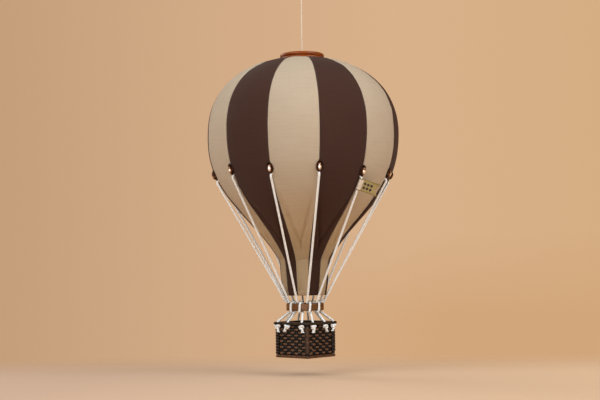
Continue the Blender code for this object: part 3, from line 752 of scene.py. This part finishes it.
# the cords that only go down inside the ring, and how far beside their seam they do it
SIDE_CORDS = {2: 10.6, 3: 4.6, 8: -3.4, 9: -1.4}
SIDE_LENGTH = 5
BASKET_CORNER = 3.4
RIM_TOP_Z = 0.0380
RIM_BASE_Z = 0.0350
HOLE_OUT = 0.0235
# how far along a side of the basket its three cords go through the rim, left and right of the front corner
LEFT_HOLES = (-0.0181, -0.0035, 0.0159)
RIGHT_HOLES = (-0.0148, 0.0039, 0.0181)
# the knot's route below the rim, along the rim, outwards and up from the hole's underside, in millimetres
KNOT_ROUTE = (
    (0.0, 0.1, -0.2), (-1.6, 0.1, -1.0), (-2.4, 1.1, -1.7), (-0.9, 2.8, -1.4), (1.2, 2.9, -0.9),
    (2.5, 1.5, -1.3), (1.7, 0.4, -2.3), (-0.6, 0.3, -3.0), (-1.6, 1.6, -3.4), (-0.3, 2.9, -3.2),
    (0.7, 2.4, -4.0), (0.5, 2.0, -5.2), (0.4, 2.1, -6.9),
)
# how far each cord's knot leans along the rim, in degrees
KNOT_TILTS = (14, -20, 24, -10, 18, -26, 9, -16, 22, -12, 26, -18)
TAIL_POINTS = 8
TAIL_FIBRES = 22
TAIL_FIBRE_R = 0.00022
TAIL_R = 0.0011
TAIL_LENGTH = 0.0011
TAIL_UNEVEN = 0.0007
FIBRE_IN = 0.0009
FIBRE_STEP = 0.0004


def basket_point(side, along, out, height):
    """A point by the basket: a side counted round from the front left, how far along it, how far out."""
    normal = BASKET_CORNER - 45 + 90 * side
    return around(normal, out, height) + around(normal + 90, along, -UNDERSIDE)


def turn_point(start, step):
    """A point on a cord's way round the load ring: over it at the start angle, and down inside it first."""
    share = step / TURN_STEPS
    swing = 2 * math.pi * share
    wide = RING_WALL / 2 + CORD_R
    tall = RING_HEIGHT / 2 + CORD_R
    inward = math.copysign(abs(math.sin(swing)) ** 0.5, math.sin(swing))
    up = math.copysign(abs(math.cos(swing)) ** 0.5, math.cos(swing))
    middle = RING_BASE_Z + RING_HEIGHT / 2
    return around(start + TURN_DRIFT * share, RING_R - RING_WALL / 2 - wide * inward, middle + tall * up)


def cord_hole(index):
    """The side of the basket whose rim a cord goes through, and how far along that side."""
    side = ((index + 3) // 3) % 4
    return side, (LEFT_HOLES if side % 2 == 0 else RIGHT_HOLES)[index % 3]


def cord_run(index):
    """A cord's straight run: its top, the way off the cloth there, its foot and the foot's angle."""
    seam = FIRST_SEAM + GORE_TURN * index
    height = BUTTON_Z + BUTTON_LIFTS[index] - CORD_BELOW_BUTTON
    radius, outward = body_at(height)
    top = around(seam, radius + outward[0] * CORD_TOP_OFF, height + outward[1] * CORD_TOP_OFF)
    off = around(seam, outward[0], outward[1] - UNDERSIDE)
    start = seam + SIDE_CORDS.get(index, TURN_START)
    return top, off, around(start, ARRIVE_R, RING_BASE_Z + RING_HEIGHT + ARRIVE_RISE), start


def cord_route(index):
    """The points of a cord from its seam, round the load ring and through the rim to its tail."""
    side, hole = cord_hole(index)
    length = SIDE_LENGTH if index in SIDE_CORDS else TURN_LENGTH
    top, off, arrival, start = cord_run(index)
    way = (arrival - top) / np.linalg.norm(arrival - top)
    route = [top - way * rise - off * sunk for rise, sunk in CORD_EMERGING]
    route += [top + (arrival - top) * share for share in (0.01, 0.03, 0.1, 0.5, 0.9, 0.97)]
    route.append(arrival)
    route += [turn_point(start, step) for step in range(length + 1)]
    last = route[-1]
    bend = basket_point(side, hole, HOLE_OUT, RIM_TOP_Z + BEND_RISE)
    route += [last + (bend - last) * share for share in (0.12, 0.5, 0.88, 1)]
    mirror = -1 if index % 3 == 1 else 1
    for sideways, out, up in KNOT_ROUTE:
        tilt = math.radians(KNOT_TILTS[index]) * min(1, -up)
        wander = mirror * 1.12 * sideways * math.cos(tilt) + (up + 0.4) * math.sin(tilt)
        drop = up * math.cos(tilt) - 0.5 * mirror * sideways * math.sin(tilt) * (up < -1)
        wander += 0.4 * noise.noise((index * 3.3, up, 0.2))
        place = (hole + wander / 1000, HOLE_OUT + out / 1000, RIM_BASE_Z + drop / 1000)
        route.append(basket_point(side, *place))
    return route


cord_cotton = cotton_yarn("cotton_cord_cream", "f8feff", "e9eef0", 0.6)
cord_ply = plied(3, CORD_PLY_TURN, 0.06)
for i in range(GORES):
    path = smooth_path(cord_route(i), CORD_STEP)
    tail = np.clip((np.arange(len(path)) - (len(path) - TAIL_POINTS)) / TAIL_POINTS, 0, 1)
    grids = [sweep(path, CORD_R * (1 + 0.45 * tail), CORD_R * (1 + 0.1 * tail), (0, 0, 1), 14, cord_ply)]
    end = path[-1]
    down = (end - path[-4]) / np.linalg.norm(end - path[-4])
    rim_way = basket_point(cord_hole(i)[0], 1, 0, -UNDERSIDE)
    for k in range(TAIL_FIBRES):
        turn = 2.4 * k
        reach = TAIL_R * math.sqrt((k + 0.5) / TAIL_FIBRES)
        off = rim_way * math.cos(turn) * reach * 1.4 + np.cross(down, rim_way) * math.sin(turn) * reach
        long = TAIL_LENGTH + TAIL_UNEVEN * noise.noise((i * 2.1, k * 1.7, 0.4))
        fibre = [end + off * 0.8 - down * FIBRE_IN, end + off, end + off * 1.45 + down * long]
        fibre = smooth_path(fibre, FIBRE_STEP)
        grids.append(sweep(fibre, TAIL_FIBRE_R, TAIL_FIBRE_R, (0, 0, 1), 5, None, k))
    cord = skin(f"cotton_cord_{i + 1:02d}", grids, cord_cotton)
    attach(cord, "balloon")
    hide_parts(f"cord_{i + 1:02d}")


# The basket's stakes, weavers and posts
# Split willow, stained almost black. Flat weavers go round the basket in front of one stake and behind the
# next, and a finer splint is wound round each corner post.
WALL_MIDDLE = 0.02075
WEAVE_STAKES = 7
WEAVE_ROWS = 10
WEAVE_LOW = 0.0033
WEAVE_HIGH = 0.0347
WEAVE_REACH = 0.0185
WEAVER_TALL = 0.0028
WEAVER_THICK = 0.0009
WEAVER_SWING = 0.00095
WEAVER_UNEVEN = 0.00012
WEAVER_STEP = 0.0007
STAKE_WIDE = 0.0022
STAKE_LAST = 0.0178
STAKE_THICK = 0.0009
STAKE_SWING = 0.00018
STAKE_STEP = 0.0009
CORNER_IN = 0.0191
POST_PLACE = 0.0210
POST_CORE_R = 0.0018
POST_WRAP_R = 0.00195
POST_WRAP_PITCH = 0.0031
POST_WRAP_WIDE = 0.0030
# half the splint's thickness, its width and how worn it is: flat, close and worn on the front post alone
FRONT_WRAP = (0.00022, POST_WRAP_WIDE, 0.52)
OTHER_WRAP = (0.00065, 0.0026, 0.3)


def split_willow(name, light, dark, wear_and_light):
    """Willow splint, stained dark: long fibres, and lighter brown where a place's third value says: wear on
    most pieces, and painted light on the weavers' bulges.
    """
    made, tree, shader = new_finish(name, 0.5, IOR=1.5, Specular_IOR_Level=0.22)
    place = add(tree, "Attribute", attribute_name="place")
    axes = add(tree, "SeparateXYZ", {0: place.outputs["Vector"]})
    stretched = add(tree, "Mapping", {0: place.outputs["Vector"], 3: (0.3, 15, 0)})
    fibres = add(tree, "TexNoise", {"Vector": stretched, "Scale": 1, "Detail": 5})
    patches = add(tree, "TexNoise", {"Scale": 190, "Detail": 3})
    mixed = add(tree, "Math", {0: fibres, 1: patches}, operation="ADD")
    raised = add(tree, "Math", {0: mixed, 1: -1.0}, operation="ADD")
    tone = add(tree, "Math", {0: raised, 1: 1.7, 2: axes.outputs[2]}, operation="MULTIPLY_ADD")
    tint = add(tree, "ValToRGB", {0: tone}, ((0.2, dark), (0.55, light), (0.95, wear_and_light)))
    bump = add(tree, "Bump", {"Height": fibres, "Strength": 0.6, "Distance": 0.00012})
    give(tree, shader, {"Base Color": tint, "Normal": bump})
    return made


willow = split_willow("split_willow_dark_stain", "45301f", "0a0605", "7c5a42")
stake_pitch = 2 * WEAVE_REACH / WEAVE_STAKES
row_pitch = (WEAVE_HIGH - WEAVE_LOW) / WEAVE_ROWS
weave_grids = []
for row in range(WEAVE_ROWS):
    height = WEAVE_HIGH - (row + 0.5) * row_pitch
    route = []
    bulges = []
    for side in range(4):
        swings = []
        for k in range(8 * WEAVE_STAKES + 1):
            along = WEAVE_REACH * (2 * k / (8 * WEAVE_STAKES) - 1) * 0.94
            phase = (along + WEAVE_REACH) / stake_pitch - 0.5
            swing = WEAVER_SWING * math.cos(math.pi * phase) * (1 if row % 2 else -1)
            swings.append(swing)
            rise = WEAVER_UNEVEN * noise.noise((side * 4.1 + along * 300, row * 2.3, 0.6))
            route.append(basket_point(side, along, WALL_MIDDLE + swing, height + rise))
        route.append(basket_point(side, CORNER_IN, CORNER_IN, height))
        bulges += [min(1, max(0, 3.2 * swing / WEAVER_SWING)) for swing in swings] + [0]
    route.append(route[0])
    bulges.append(bulges[0])
    both = smooth_path(np.column_stack((route, np.array(bulges) / 1000)), WEAVER_STEP)
    points, places, form = sweep(both[:, :3], WEAVER_TALL / 2, WEAVER_THICK / 2, (0, 0, 1), 12)
    places[..., 0] += 37 * row
    # painted light: its faces are painted lighter brown where it bulges out over a stake, most on its top
    # side, as a painted highlight where light falls on the bulge
    turn = 2 * math.pi * places[..., 1]
    wear_and_light = np.clip(1.8 * np.abs(np.sin(turn)) - 0.7 + 0.3 * np.cos(turn), 0, 0.95)
    places[..., 2] = both[:, 3:] * 1000 * wear_and_light
    weave_grids.append((points, places, form))
weavers = skin("basket_weavers", weave_grids, willow)
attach(weavers, "balloon")
for side in range(4):
    grids = []
    way = basket_point(side, 1, 0, -UNDERSIDE)
    for k in range(-1, WEAVE_STAKES + 1):
        along = -WEAVE_REACH + (k + 0.5) * stake_pitch
        along = min(max(along, -STAKE_LAST), STAKE_LAST)
        route = []
        for row in range(-1, WEAVE_ROWS + 1):
            height = WEAVE_HIGH - (row + 0.5) * row_pitch
            height = min(max(height, WEAVE_LOW), WEAVE_HIGH)
            over = 1 if (row + k) % 2 else -1
            route.append(basket_point(side, along, WALL_MIDDLE - over * STAKE_SWING, height))
        path = smooth_path(route[::-1], STAKE_STEP)
        grids.append(sweep(path, STAKE_WIDE / 2, STAKE_THICK / 2, way, 8, None, 0.08))
    stakes = skin(f"basket_stakes_{side + 1}", grids, willow)
    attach(stakes, "balloon")
    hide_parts(f"basket_wall_{side + 1}")
for corner in range(4):
    middle = basket_point(corner, POST_PLACE, POST_PLACE, 0)
    core = [middle + (0, 0, z) for z in np.linspace(WEAVE_LOW, WEAVE_HIGH, 12)]
    grids = [sweep(core, POST_CORE_R, POST_CORE_R, (1, 0, 0), 16)]
    wrap = []
    turns = (WEAVE_HIGH - WEAVE_LOW - POST_WRAP_WIDE) / POST_WRAP_PITCH
    for k in range(int(turns * 20) + 1):
        turn = 2 * math.pi * k / 20 + corner
        height = WEAVE_LOW + POST_WRAP_WIDE / 2 + POST_WRAP_PITCH * k / 20
        wrap.append(middle + (POST_WRAP_R * math.cos(turn), POST_WRAP_R * math.sin(turn), height))
    upright = np.tile((0.0, 0, 1), (len(wrap), 1))
    thick, tall, wear_and_light = OTHER_WRAP if corner else FRONT_WRAP
    grids.append(sweep(wrap, tall / 2, thick, upright, 10, None, wear_and_light))
    post = skin(f"basket_wrapped_post_{corner + 1}", grids, willow)
    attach(post, "balloon")
    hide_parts(f"basket_post_{(corner + 1) % 4 + 1}")


# The basket's border, rim and floor
# The border and the rim are willow laths bent round the corners and glued over the ends of the stakes. The
# floor is a plain check of flat splints.
BORDER_R = 0.0015
BORDER_MIDDLE = 0.0222
BORDER_CORNER = 0.0032
RIM_OUT = 0.0254
RIM_IN = 0.0186
RIM_CORNER = 0.0045
RIM_EDGE = 0.0011
FLOOR_HALF = 0.0205
FLOOR_LOW = 0.0008
FLOOR_TOP = 0.0028
FLOOR_STRIPS = 10
FLOOR_SWING = 0.00045
FLOOR_THICK = 0.0008
HOLE_R = CORD_R + 0.0002


def square_hoop(section, corner, wear_and_light):
    """A band round the basket. A section is a loop of distance out and height, down its outer side first."""
    reach = max(out for out, _ in section)
    count = 12
    points = []
    for side in range(4):
        for share in np.linspace(-1, 1, 25)[:-1]:
            row = []
            for out, height in section:
                bend = max(corner - (reach - out), GAP)
                row.append(basket_point(side, share * (out - bend), out, height))
            points.append(row)
        for turn in math.pi / 2 * np.arange(count) / count:
            row = []
            for out, height in section:
                bend = max(corner - (reach - out), GAP)
                along = out - bend + bend * math.sin(turn)
                row.append(basket_point(side, along, out - bend + bend * math.cos(turn), height))
            points.append(row)
    points = np.array(points)
    steps = np.linalg.norm(np.diff(points[:, 0], axis=0), axis=1)
    length = np.concatenate(([0], np.cumsum(steps), [steps.sum() + 0.0015])) * 1000
    places = np.empty((len(points) + 1, len(section) + 1, 3))
    places[..., 0] = length[:, None]
    places[..., 1] = np.arange(len(section) + 1) / len(section)
    places[..., 2] = wear_and_light
    return points, places, "hoop"


border_section = arc((BORDER_MIDDLE, BORDER_R), BORDER_R, BORDER_R, 180, -160, 18)
lath = split_willow("willow_lath_brown_stain", "6f4a30", "2e1c12", "93664a")
border = skin("basket_foot_lath", [square_hoop(border_section, BORDER_CORNER, 0.4)], lath)
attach(border, "balloon")
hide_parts("basket_border")
rim_section = rounded_section(RIM_IN, RIM_OUT, RIM_BASE_Z, RIM_TOP_Z, RIM_EDGE, 6)
rim = skin("basket_rim_lath", [square_hoop(rim_section, RIM_CORNER, 0.36)], willow)
# The cords' holes are drilled through the rim, a little wider than the cords.
holes = []
for i in range(GORES):
    side, hole = cord_hole(i)
    ends = [basket_point(side, hole, HOLE_OUT, height) for height in (RIM_BASE_Z - 0.002, RIM_TOP_Z + 0.002)]
    holes.append(sweep(ends, HOLE_R, HOLE_R, (1, 0, 0), 20))
drill = skin("rim_drill", holes, willow)
cut = rim.modifiers.new("cord holes", "BOOLEAN")
cut.operation = "DIFFERENCE"
cut.solver = "EXACT"
cut.object = drill
bpy.context.view_layer.update()
drilled = bpy.data.meshes.new_from_object(rim.evaluated_get(bpy.context.evaluated_depsgraph_get()))
rim.modifiers.remove(cut)
rim.data = drilled
bpy.data.objects.remove(drill)
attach(rim, "balloon")
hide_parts("basket_rim")
floor_grids = []
strip_pitch = 2 * FLOOR_HALF / FLOOR_STRIPS
for direction in (0, 1):
    way = basket_point(direction, 0, 1, -UNDERSIDE)
    for k in range(FLOOR_STRIPS):
        off = -FLOOR_HALF + (k + 0.5) * strip_pitch
        route = []
        for j in range(8 * FLOOR_STRIPS + 1):
            along = FLOOR_HALF * (2 * j / (8 * FLOOR_STRIPS) - 1)
            phase = (along + FLOOR_HALF) / strip_pitch - 0.5
            swing = FLOOR_SWING * math.cos(math.pi * phase) * (1 if (k + direction) % 2 else -1)
            height = (FLOOR_LOW + FLOOR_TOP) / 2 + swing
            route.append(basket_point(direction, along, off, height))
        floor_grids.append(sweep(route, strip_pitch * 0.46, FLOOR_THICK / 2, way, 8, None, 0.3))
base = skin("basket_woven_floor", floor_grids, willow)
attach(base, "balloon")
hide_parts("basket_floor")


# The label
# A short length of woven olive tape, folded round one cord, with a swallow tail cut in its ends and two rows
# of small diamonds woven into it. It can turn round its cord.
LABEL_CORD = 1
LABEL_LENGTH = 0.0206
LABEL_WIDTH = 0.0132
LABEL_NOTCH = 0.0037
LABEL_DOWN = 0.0066
LABEL_OUTWARD = 44.0
LABEL_THICK = 0.00035
LABEL_LOOP_R = 0.0017
LABEL_APART = 0.00024
LABEL_CURL = 0.0006
LABEL_WAVE = 0.0004
# in millimetres: how far from the fold the undyed threads reach, the motif's middle and half its length, how
# far off the tape's middle its two rows lie, half a diamond, and the weave's herringbone and its ridges
LABEL_PALE = 4.6
MOTIF_PLACE = 10.5
MOTIF_REACH = 5.25
MOTIF_ROW = 2.2
MOTIF_HALF = 1.75
HERRINGBONE = 1.1
RIDGE_PITCH = 0.55


def label_frame():
    """The cord's axis at the label's middle, and the ways along the label, across it and down the cord."""
    top, _, arrival, _ = cord_run(LABEL_CORD)
    down = (arrival - top) / np.linalg.norm(arrival - top)
    sideways = around(FIRST_SEAM + GORE_TURN * LABEL_CORD + 90, 1, -UNDERSIDE)
    sideways = sideways - down * sideways.dot(down)
    sideways /= np.linalg.norm(sideways)
    outwards = np.cross(down, sideways)
    turn = math.radians(LABEL_OUTWARD)
    along = sideways * math.cos(turn) + outwards * math.sin(turn)
    return top + down * LABEL_DOWN, along, np.cross(down, along), down


def woven_tape(name, body, ridge, border, pale, motif):
    """Woven label tape: fine herringbone ridges, a darker selvedge, and undyed threads at the fold."""
    made, tree, shader = new_finish(name, 0.8, Sheen_Weight=0.3, Sheen_Roughness=0.4, Specular_IOR_Level=0.3)
    place = add(tree, "Attribute", attribute_name="place")
    axes = add(tree, "SeparateXYZ", {0: place.outputs["Vector"]})
    across = add(tree, "Math", {0: axes.outputs[1], 1: HERRINGBONE}, operation="PINGPONG")
    slanted = add(tree, "Math", {0: axes.outputs[0], 1: across}, operation="ADD")
    turned = add(tree, "Math", {0: slanted, 1: 2 * math.pi / RIDGE_PITCH}, operation="MULTIPLY")
    ridges = add(tree, "Math", {0: turned}, operation="SINE")
    speckle = add(tree, "TexNoise", {"Vector": place.outputs["Vector"], "Scale": 2.2, "Detail": 3})
    mixed = add(tree, "Math", {0: ridges, 1: 0.14, 2: speckle}, operation="MULTIPLY_ADD")
    tint = add(tree, "ValToRGB", {0: mixed}, ((0.3, ridge), (0.7, body)))
    from_middle = add(tree, "Math", {0: axes.outputs[1]}, operation="ABSOLUTE")
    selvedge = LABEL_WIDTH * 500 - 1.0
    edge = add(tree, "MapRange", {0: from_middle, 1: selvedge - 0.1, 2: selvedge + 0.1})
    edged = add(tree, "Mix", {0: edge, 6: tint, 7: srgb(border)}, data_type="RGBA")
    near = add(tree, "MapRange", {0: axes.outputs[2], 1: LABEL_PALE, 2: LABEL_PALE - 0.25})
    inner = add(tree, "MapRange", {0: edge, 3: 1.0, 4: 0.0})
    both = add(tree, "Math", {0: near, 1: inner}, operation="MULTIPLY")
    striped = add(tree, "Mix", {0: both, 6: edged.outputs[2], 7: srgb(pale)}, data_type="RGBA")
    off_row = add(tree, "Math", {0: from_middle, 1: MOTIF_ROW}, operation="SUBTRACT")
    tall = add(tree, "Math", {0: off_row}, operation="ABSOLUTE")
    wide = add(tree, "Math", {0: axes.outputs[2], 1: MOTIF_HALF}, operation="PINGPONG")
    diamond = add(tree, "Math", {0: tall, 1: 0.85, 2: wide}, operation="MULTIPLY_ADD")
    filled = add(tree, "MapRange", {0: diamond, 1: MOTIF_HALF, 2: MOTIF_HALF - 0.15})
    past_middle = add(tree, "Math", {0: axes.outputs[2], 1: -MOTIF_PLACE}, operation="ADD")
    off_middle = add(tree, "Math", {0: past_middle}, operation="ABSOLUTE")
    within = add(tree, "MapRange", {0: off_middle, 1: MOTIF_REACH + 0.05, 2: MOTIF_REACH - 0.05})
    shown = add(tree, "Math", {0: filled, 1: within}, operation="MULTIPLY")
    worked = add(tree, "Mix", {0: shown, 6: striped.outputs[2], 7: srgb(motif)}, data_type="RGBA")
    bump = add(tree, "Bump", {"Height": ridges, "Strength": 0.4, "Distance": 0.00008})
    give(tree, shader, {"Base Color": worked.outputs[2], "Normal": bump})
    return made


middle, along_label, across_label, down_cord = label_frame()
tangent = math.acos(LABEL_APART / LABEL_LOOP_R)
leg_start = LABEL_LOOP_R * math.sin(tangent)
ribbon = []
for k in range(22):
    share = k / 22
    reach = LABEL_LENGTH + (leg_start - LABEL_LENGTH) * share
    ribbon.append((reach, -LABEL_APART * (1 + 0.9 * (1 - share) ** 2)))
loop_start = math.atan2(-LABEL_APART, leg_start)
for k in range(25):
    turn = loop_start + (-2 * math.pi - 2 * loop_start) * k / 24
    ribbon.append((LABEL_LOOP_R * math.cos(turn), LABEL_LOOP_R * math.sin(turn)))
for k in range(1, 23):
    share = k / 22
    reach = leg_start + (LABEL_LENGTH - leg_start) * share
    ribbon.append((reach, LABEL_APART * (1 + 0.9 * share**2)))
columns = 31
grid = np.empty((len(ribbon), columns, 3))
places = np.empty((len(ribbon), columns, 3))
length = 0
for i, (x, y) in enumerate(ribbon):
    if i:
        length += math.dist(ribbon[i], ribbon[i - 1]) * 1000
    for j in range(columns):
        share = 2 * j / (columns - 1) - 1
        far = max(0, (x - leg_start) / (LABEL_LENGTH - leg_start))
        inset = LABEL_NOTCH * (1 - abs(share)) * far
        curl = LABEL_CURL * far**2 * math.sin(2.2 * share) + LABEL_WAVE * far * math.sin(5 * far + 2 * share)
        spot = middle + along_label * (x - inset) + across_label * (y + curl)
        grid[i, j] = spot + down_cord * share * LABEL_WIDTH / 2
        places[i, j] = (length - inset * 1000, share * LABEL_WIDTH * 500, (x - inset) * 1000 + 1.7)
tape = woven_tape("woven_cotton_tape_olive", "bbaa74", "a2905a", "8d8048", "efe9dc", "3b3128")
label = skin("folded_label", [(grid, places, "cloth")], tape)
tape_body = label.modifiers.new("tape", "SOLIDIFY")
tape_body.thickness = LABEL_THICK
tape_body.offset = 0
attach(label, "label")
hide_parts("label")


# The room
# Warm background paper lies under the balloon and fades into a background of its own colour. The lights are
# soft: a key and a fill high in front, a warm box overhead, a rim light behind, a low strip and a small card.
FLOOR_Z = UNDERSIDE - 0.020
FLOOR_R = 1.6


def paper_floor(name, color, shade, warm):
    """Seamless background paper: matt, with a faint mottle, thinned out to nothing towards its far edge.

    Its glow stands for the light that the rest of the room throws on it.
    """
    made, tree, shader = new_finish(name, 0.9, Specular_IOR_Level=0.15, Emission_Strength=0.42)
    place = add(tree, "TexCoord")
    mottle = add(tree, "TexNoise", {"Vector": place.outputs["Object"], "Scale": 3, "Detail": 3})
    tint = add(tree, "ValToRGB", {0: mottle}, ((0, shade), (1, color)))
    apart = add(tree, "SeparateXYZ", {0: place.outputs["Object"]})
    # painted light: the paper is painted brighter and warmer towards the right, where more light falls on it
    to_right = add(tree, "MapRange", {0: apart, 1: -0.25, 2: 0.3})
    painted_right_light = add(tree, "Mix", {0: to_right, 6: tint, 7: srgb(warm)}, data_type="RGBA")
    oval = add(tree, "Mapping", {0: place.outputs["Object"], 1: (0, 0.25, 0), 3: (0.3, 1, 1)})
    away = add(tree, "VectorMath", {0: oval}, operation="LENGTH")
    clear = add(
        tree,
        "MapRange",
        {0: away.outputs["Value"], 1: 0.25, 2: 0.6, 3: 1.0, 4: 0.0},
        interpolation_type="SMOOTHSTEP",
    )
    give(
        tree,
        shader,
        {"Base Color": painted_right_light.outputs[2], "Emission Color": painted_right_light.outputs[2], "Alpha": clear},
    )
    return made


spokes = 64
turns = 2 * math.pi * np.arange(spokes + 1) / spokes
floor_grid = np.zeros((4, spokes + 1, 3))
for k, radius in enumerate((0.0, 0.3, 0.8, FLOOR_R)):
    floor_grid[k, :, 0] = radius * np.cos(turns)
    floor_grid[k, :, 1] = radius * np.sin(turns)
paper = paper_floor("background_paper_warm", "bba08a", "b49a84", "c8ab8c")
floor = skin("floor", [(floor_grid, floor_grid * 1000, "cloth")], paper)
floor.location = (0, 0, FLOOR_Z)

# Behind the balloon the room is the paper's own colour, a little deeper low on the right. All round it is
# dark above and golden below, as glossy things see it.
world = bpy.data.worlds.new("studio")
bpy.context.scene.world = world
world.use_nodes = True
air = world.node_tree
way = add(air, "TexCoord")
ways = add(air, "SeparateXYZ", {0: way.outputs["Generated"]})
side = add(air, "MapRange", {0: ways, 1: -0.26, 2: 0.26})
tones = ((0, "c39d79"), (0.35, "d1aa86"), (0.65, "d8b18b"), (1, "d6ae83"))
backdrop = add(air, "ValToRGB", {0: side}, tones)
low = add(air, "MapRange", {0: ways.outputs[2], 1: 0.03, 2: -0.04})
right = add(air, "MapRange", {0: ways, 1: -0.1, 2: 0.12})
low_right = add(air, "Math", {0: low, 1: right}, operation="MULTIPLY")
deeper = add(air, "Mix", {0: low_right, 6: backdrop, 7: srgb("d2a67b")}, data_type="RGBA")
behind = add(air, "MapRange", {0: ways.outputs[1], 1: 0.75, 2: 0.92}, interpolation_type="SMOOTHSTEP")
below = add(air, "MapRange", {0: ways.outputs[2], 1: 0.15, 2: -0.15})
bounce = add(air, "Mix", {0: below, 6: srgb("46372a"), 7: srgb("c08952")}, data_type="RGBA")
seen = add(air, "Mix", {0: behind, 6: bounce.outputs[2], 7: deeper.outputs[2]}, data_type="RGBA")
give(air, air.nodes["Background"], {"Color": seen.outputs[2]})
bpy.context.scene.view_settings.view_transform = "Standard"


def softbox(name, place, target, wide, tall, watts, color):
    """A rectangular soft light that faces a point."""
    data = bpy.data.lights.new(name, "AREA")
    data.shape = "RECTANGLE"
    data.size = wide
    data.size_y = tall
    data.energy = watts
    data.color = srgb(color)[:3]
    made = bpy.data.objects.new(name, data)
    bpy.context.scene.collection.objects.link(made)
    made.location = place
    made.rotation_euler = (Vector(target) - Vector(place)).to_track_quat("-Z", "Y").to_euler()
    return made


softbox("key_softbox", (-0.86, -1.03, 0.67), (0, 0, -0.2), 1.1, 0.9, 12.8, "f6fbff")
softbox("fill_softbox", (1.0, -0.84, 0.72), (0, 0, -0.2), 1.1, 0.9, 14.8, "fcfdff")
softbox("overhead_softbox", (0.3, -0.35, 1.25), (0, 0, -0.15), 1.7, 1.7, 4.0, "ffcf9c")
softbox("rim_softbox", (-1.1, 0.8, 0.5), (0, 0, -0.25), 0.6, 1.2, 6.5, "ffffff")
softbox("strip_softbox", (-0.3, -1.6, -0.15), (0, 0, -0.2), 0.36, 1.5, 3.0, "ffffff")
# Only glossy things see the card: it gives the buttons their white highlights.
card = softbox("low_card", (-0.06, -0.42, -0.335), (0, -0.08, -0.22), 0.34, 0.17, 0.95, "ffffff")
card.visible_diffuse = False
card.visible_camera = False
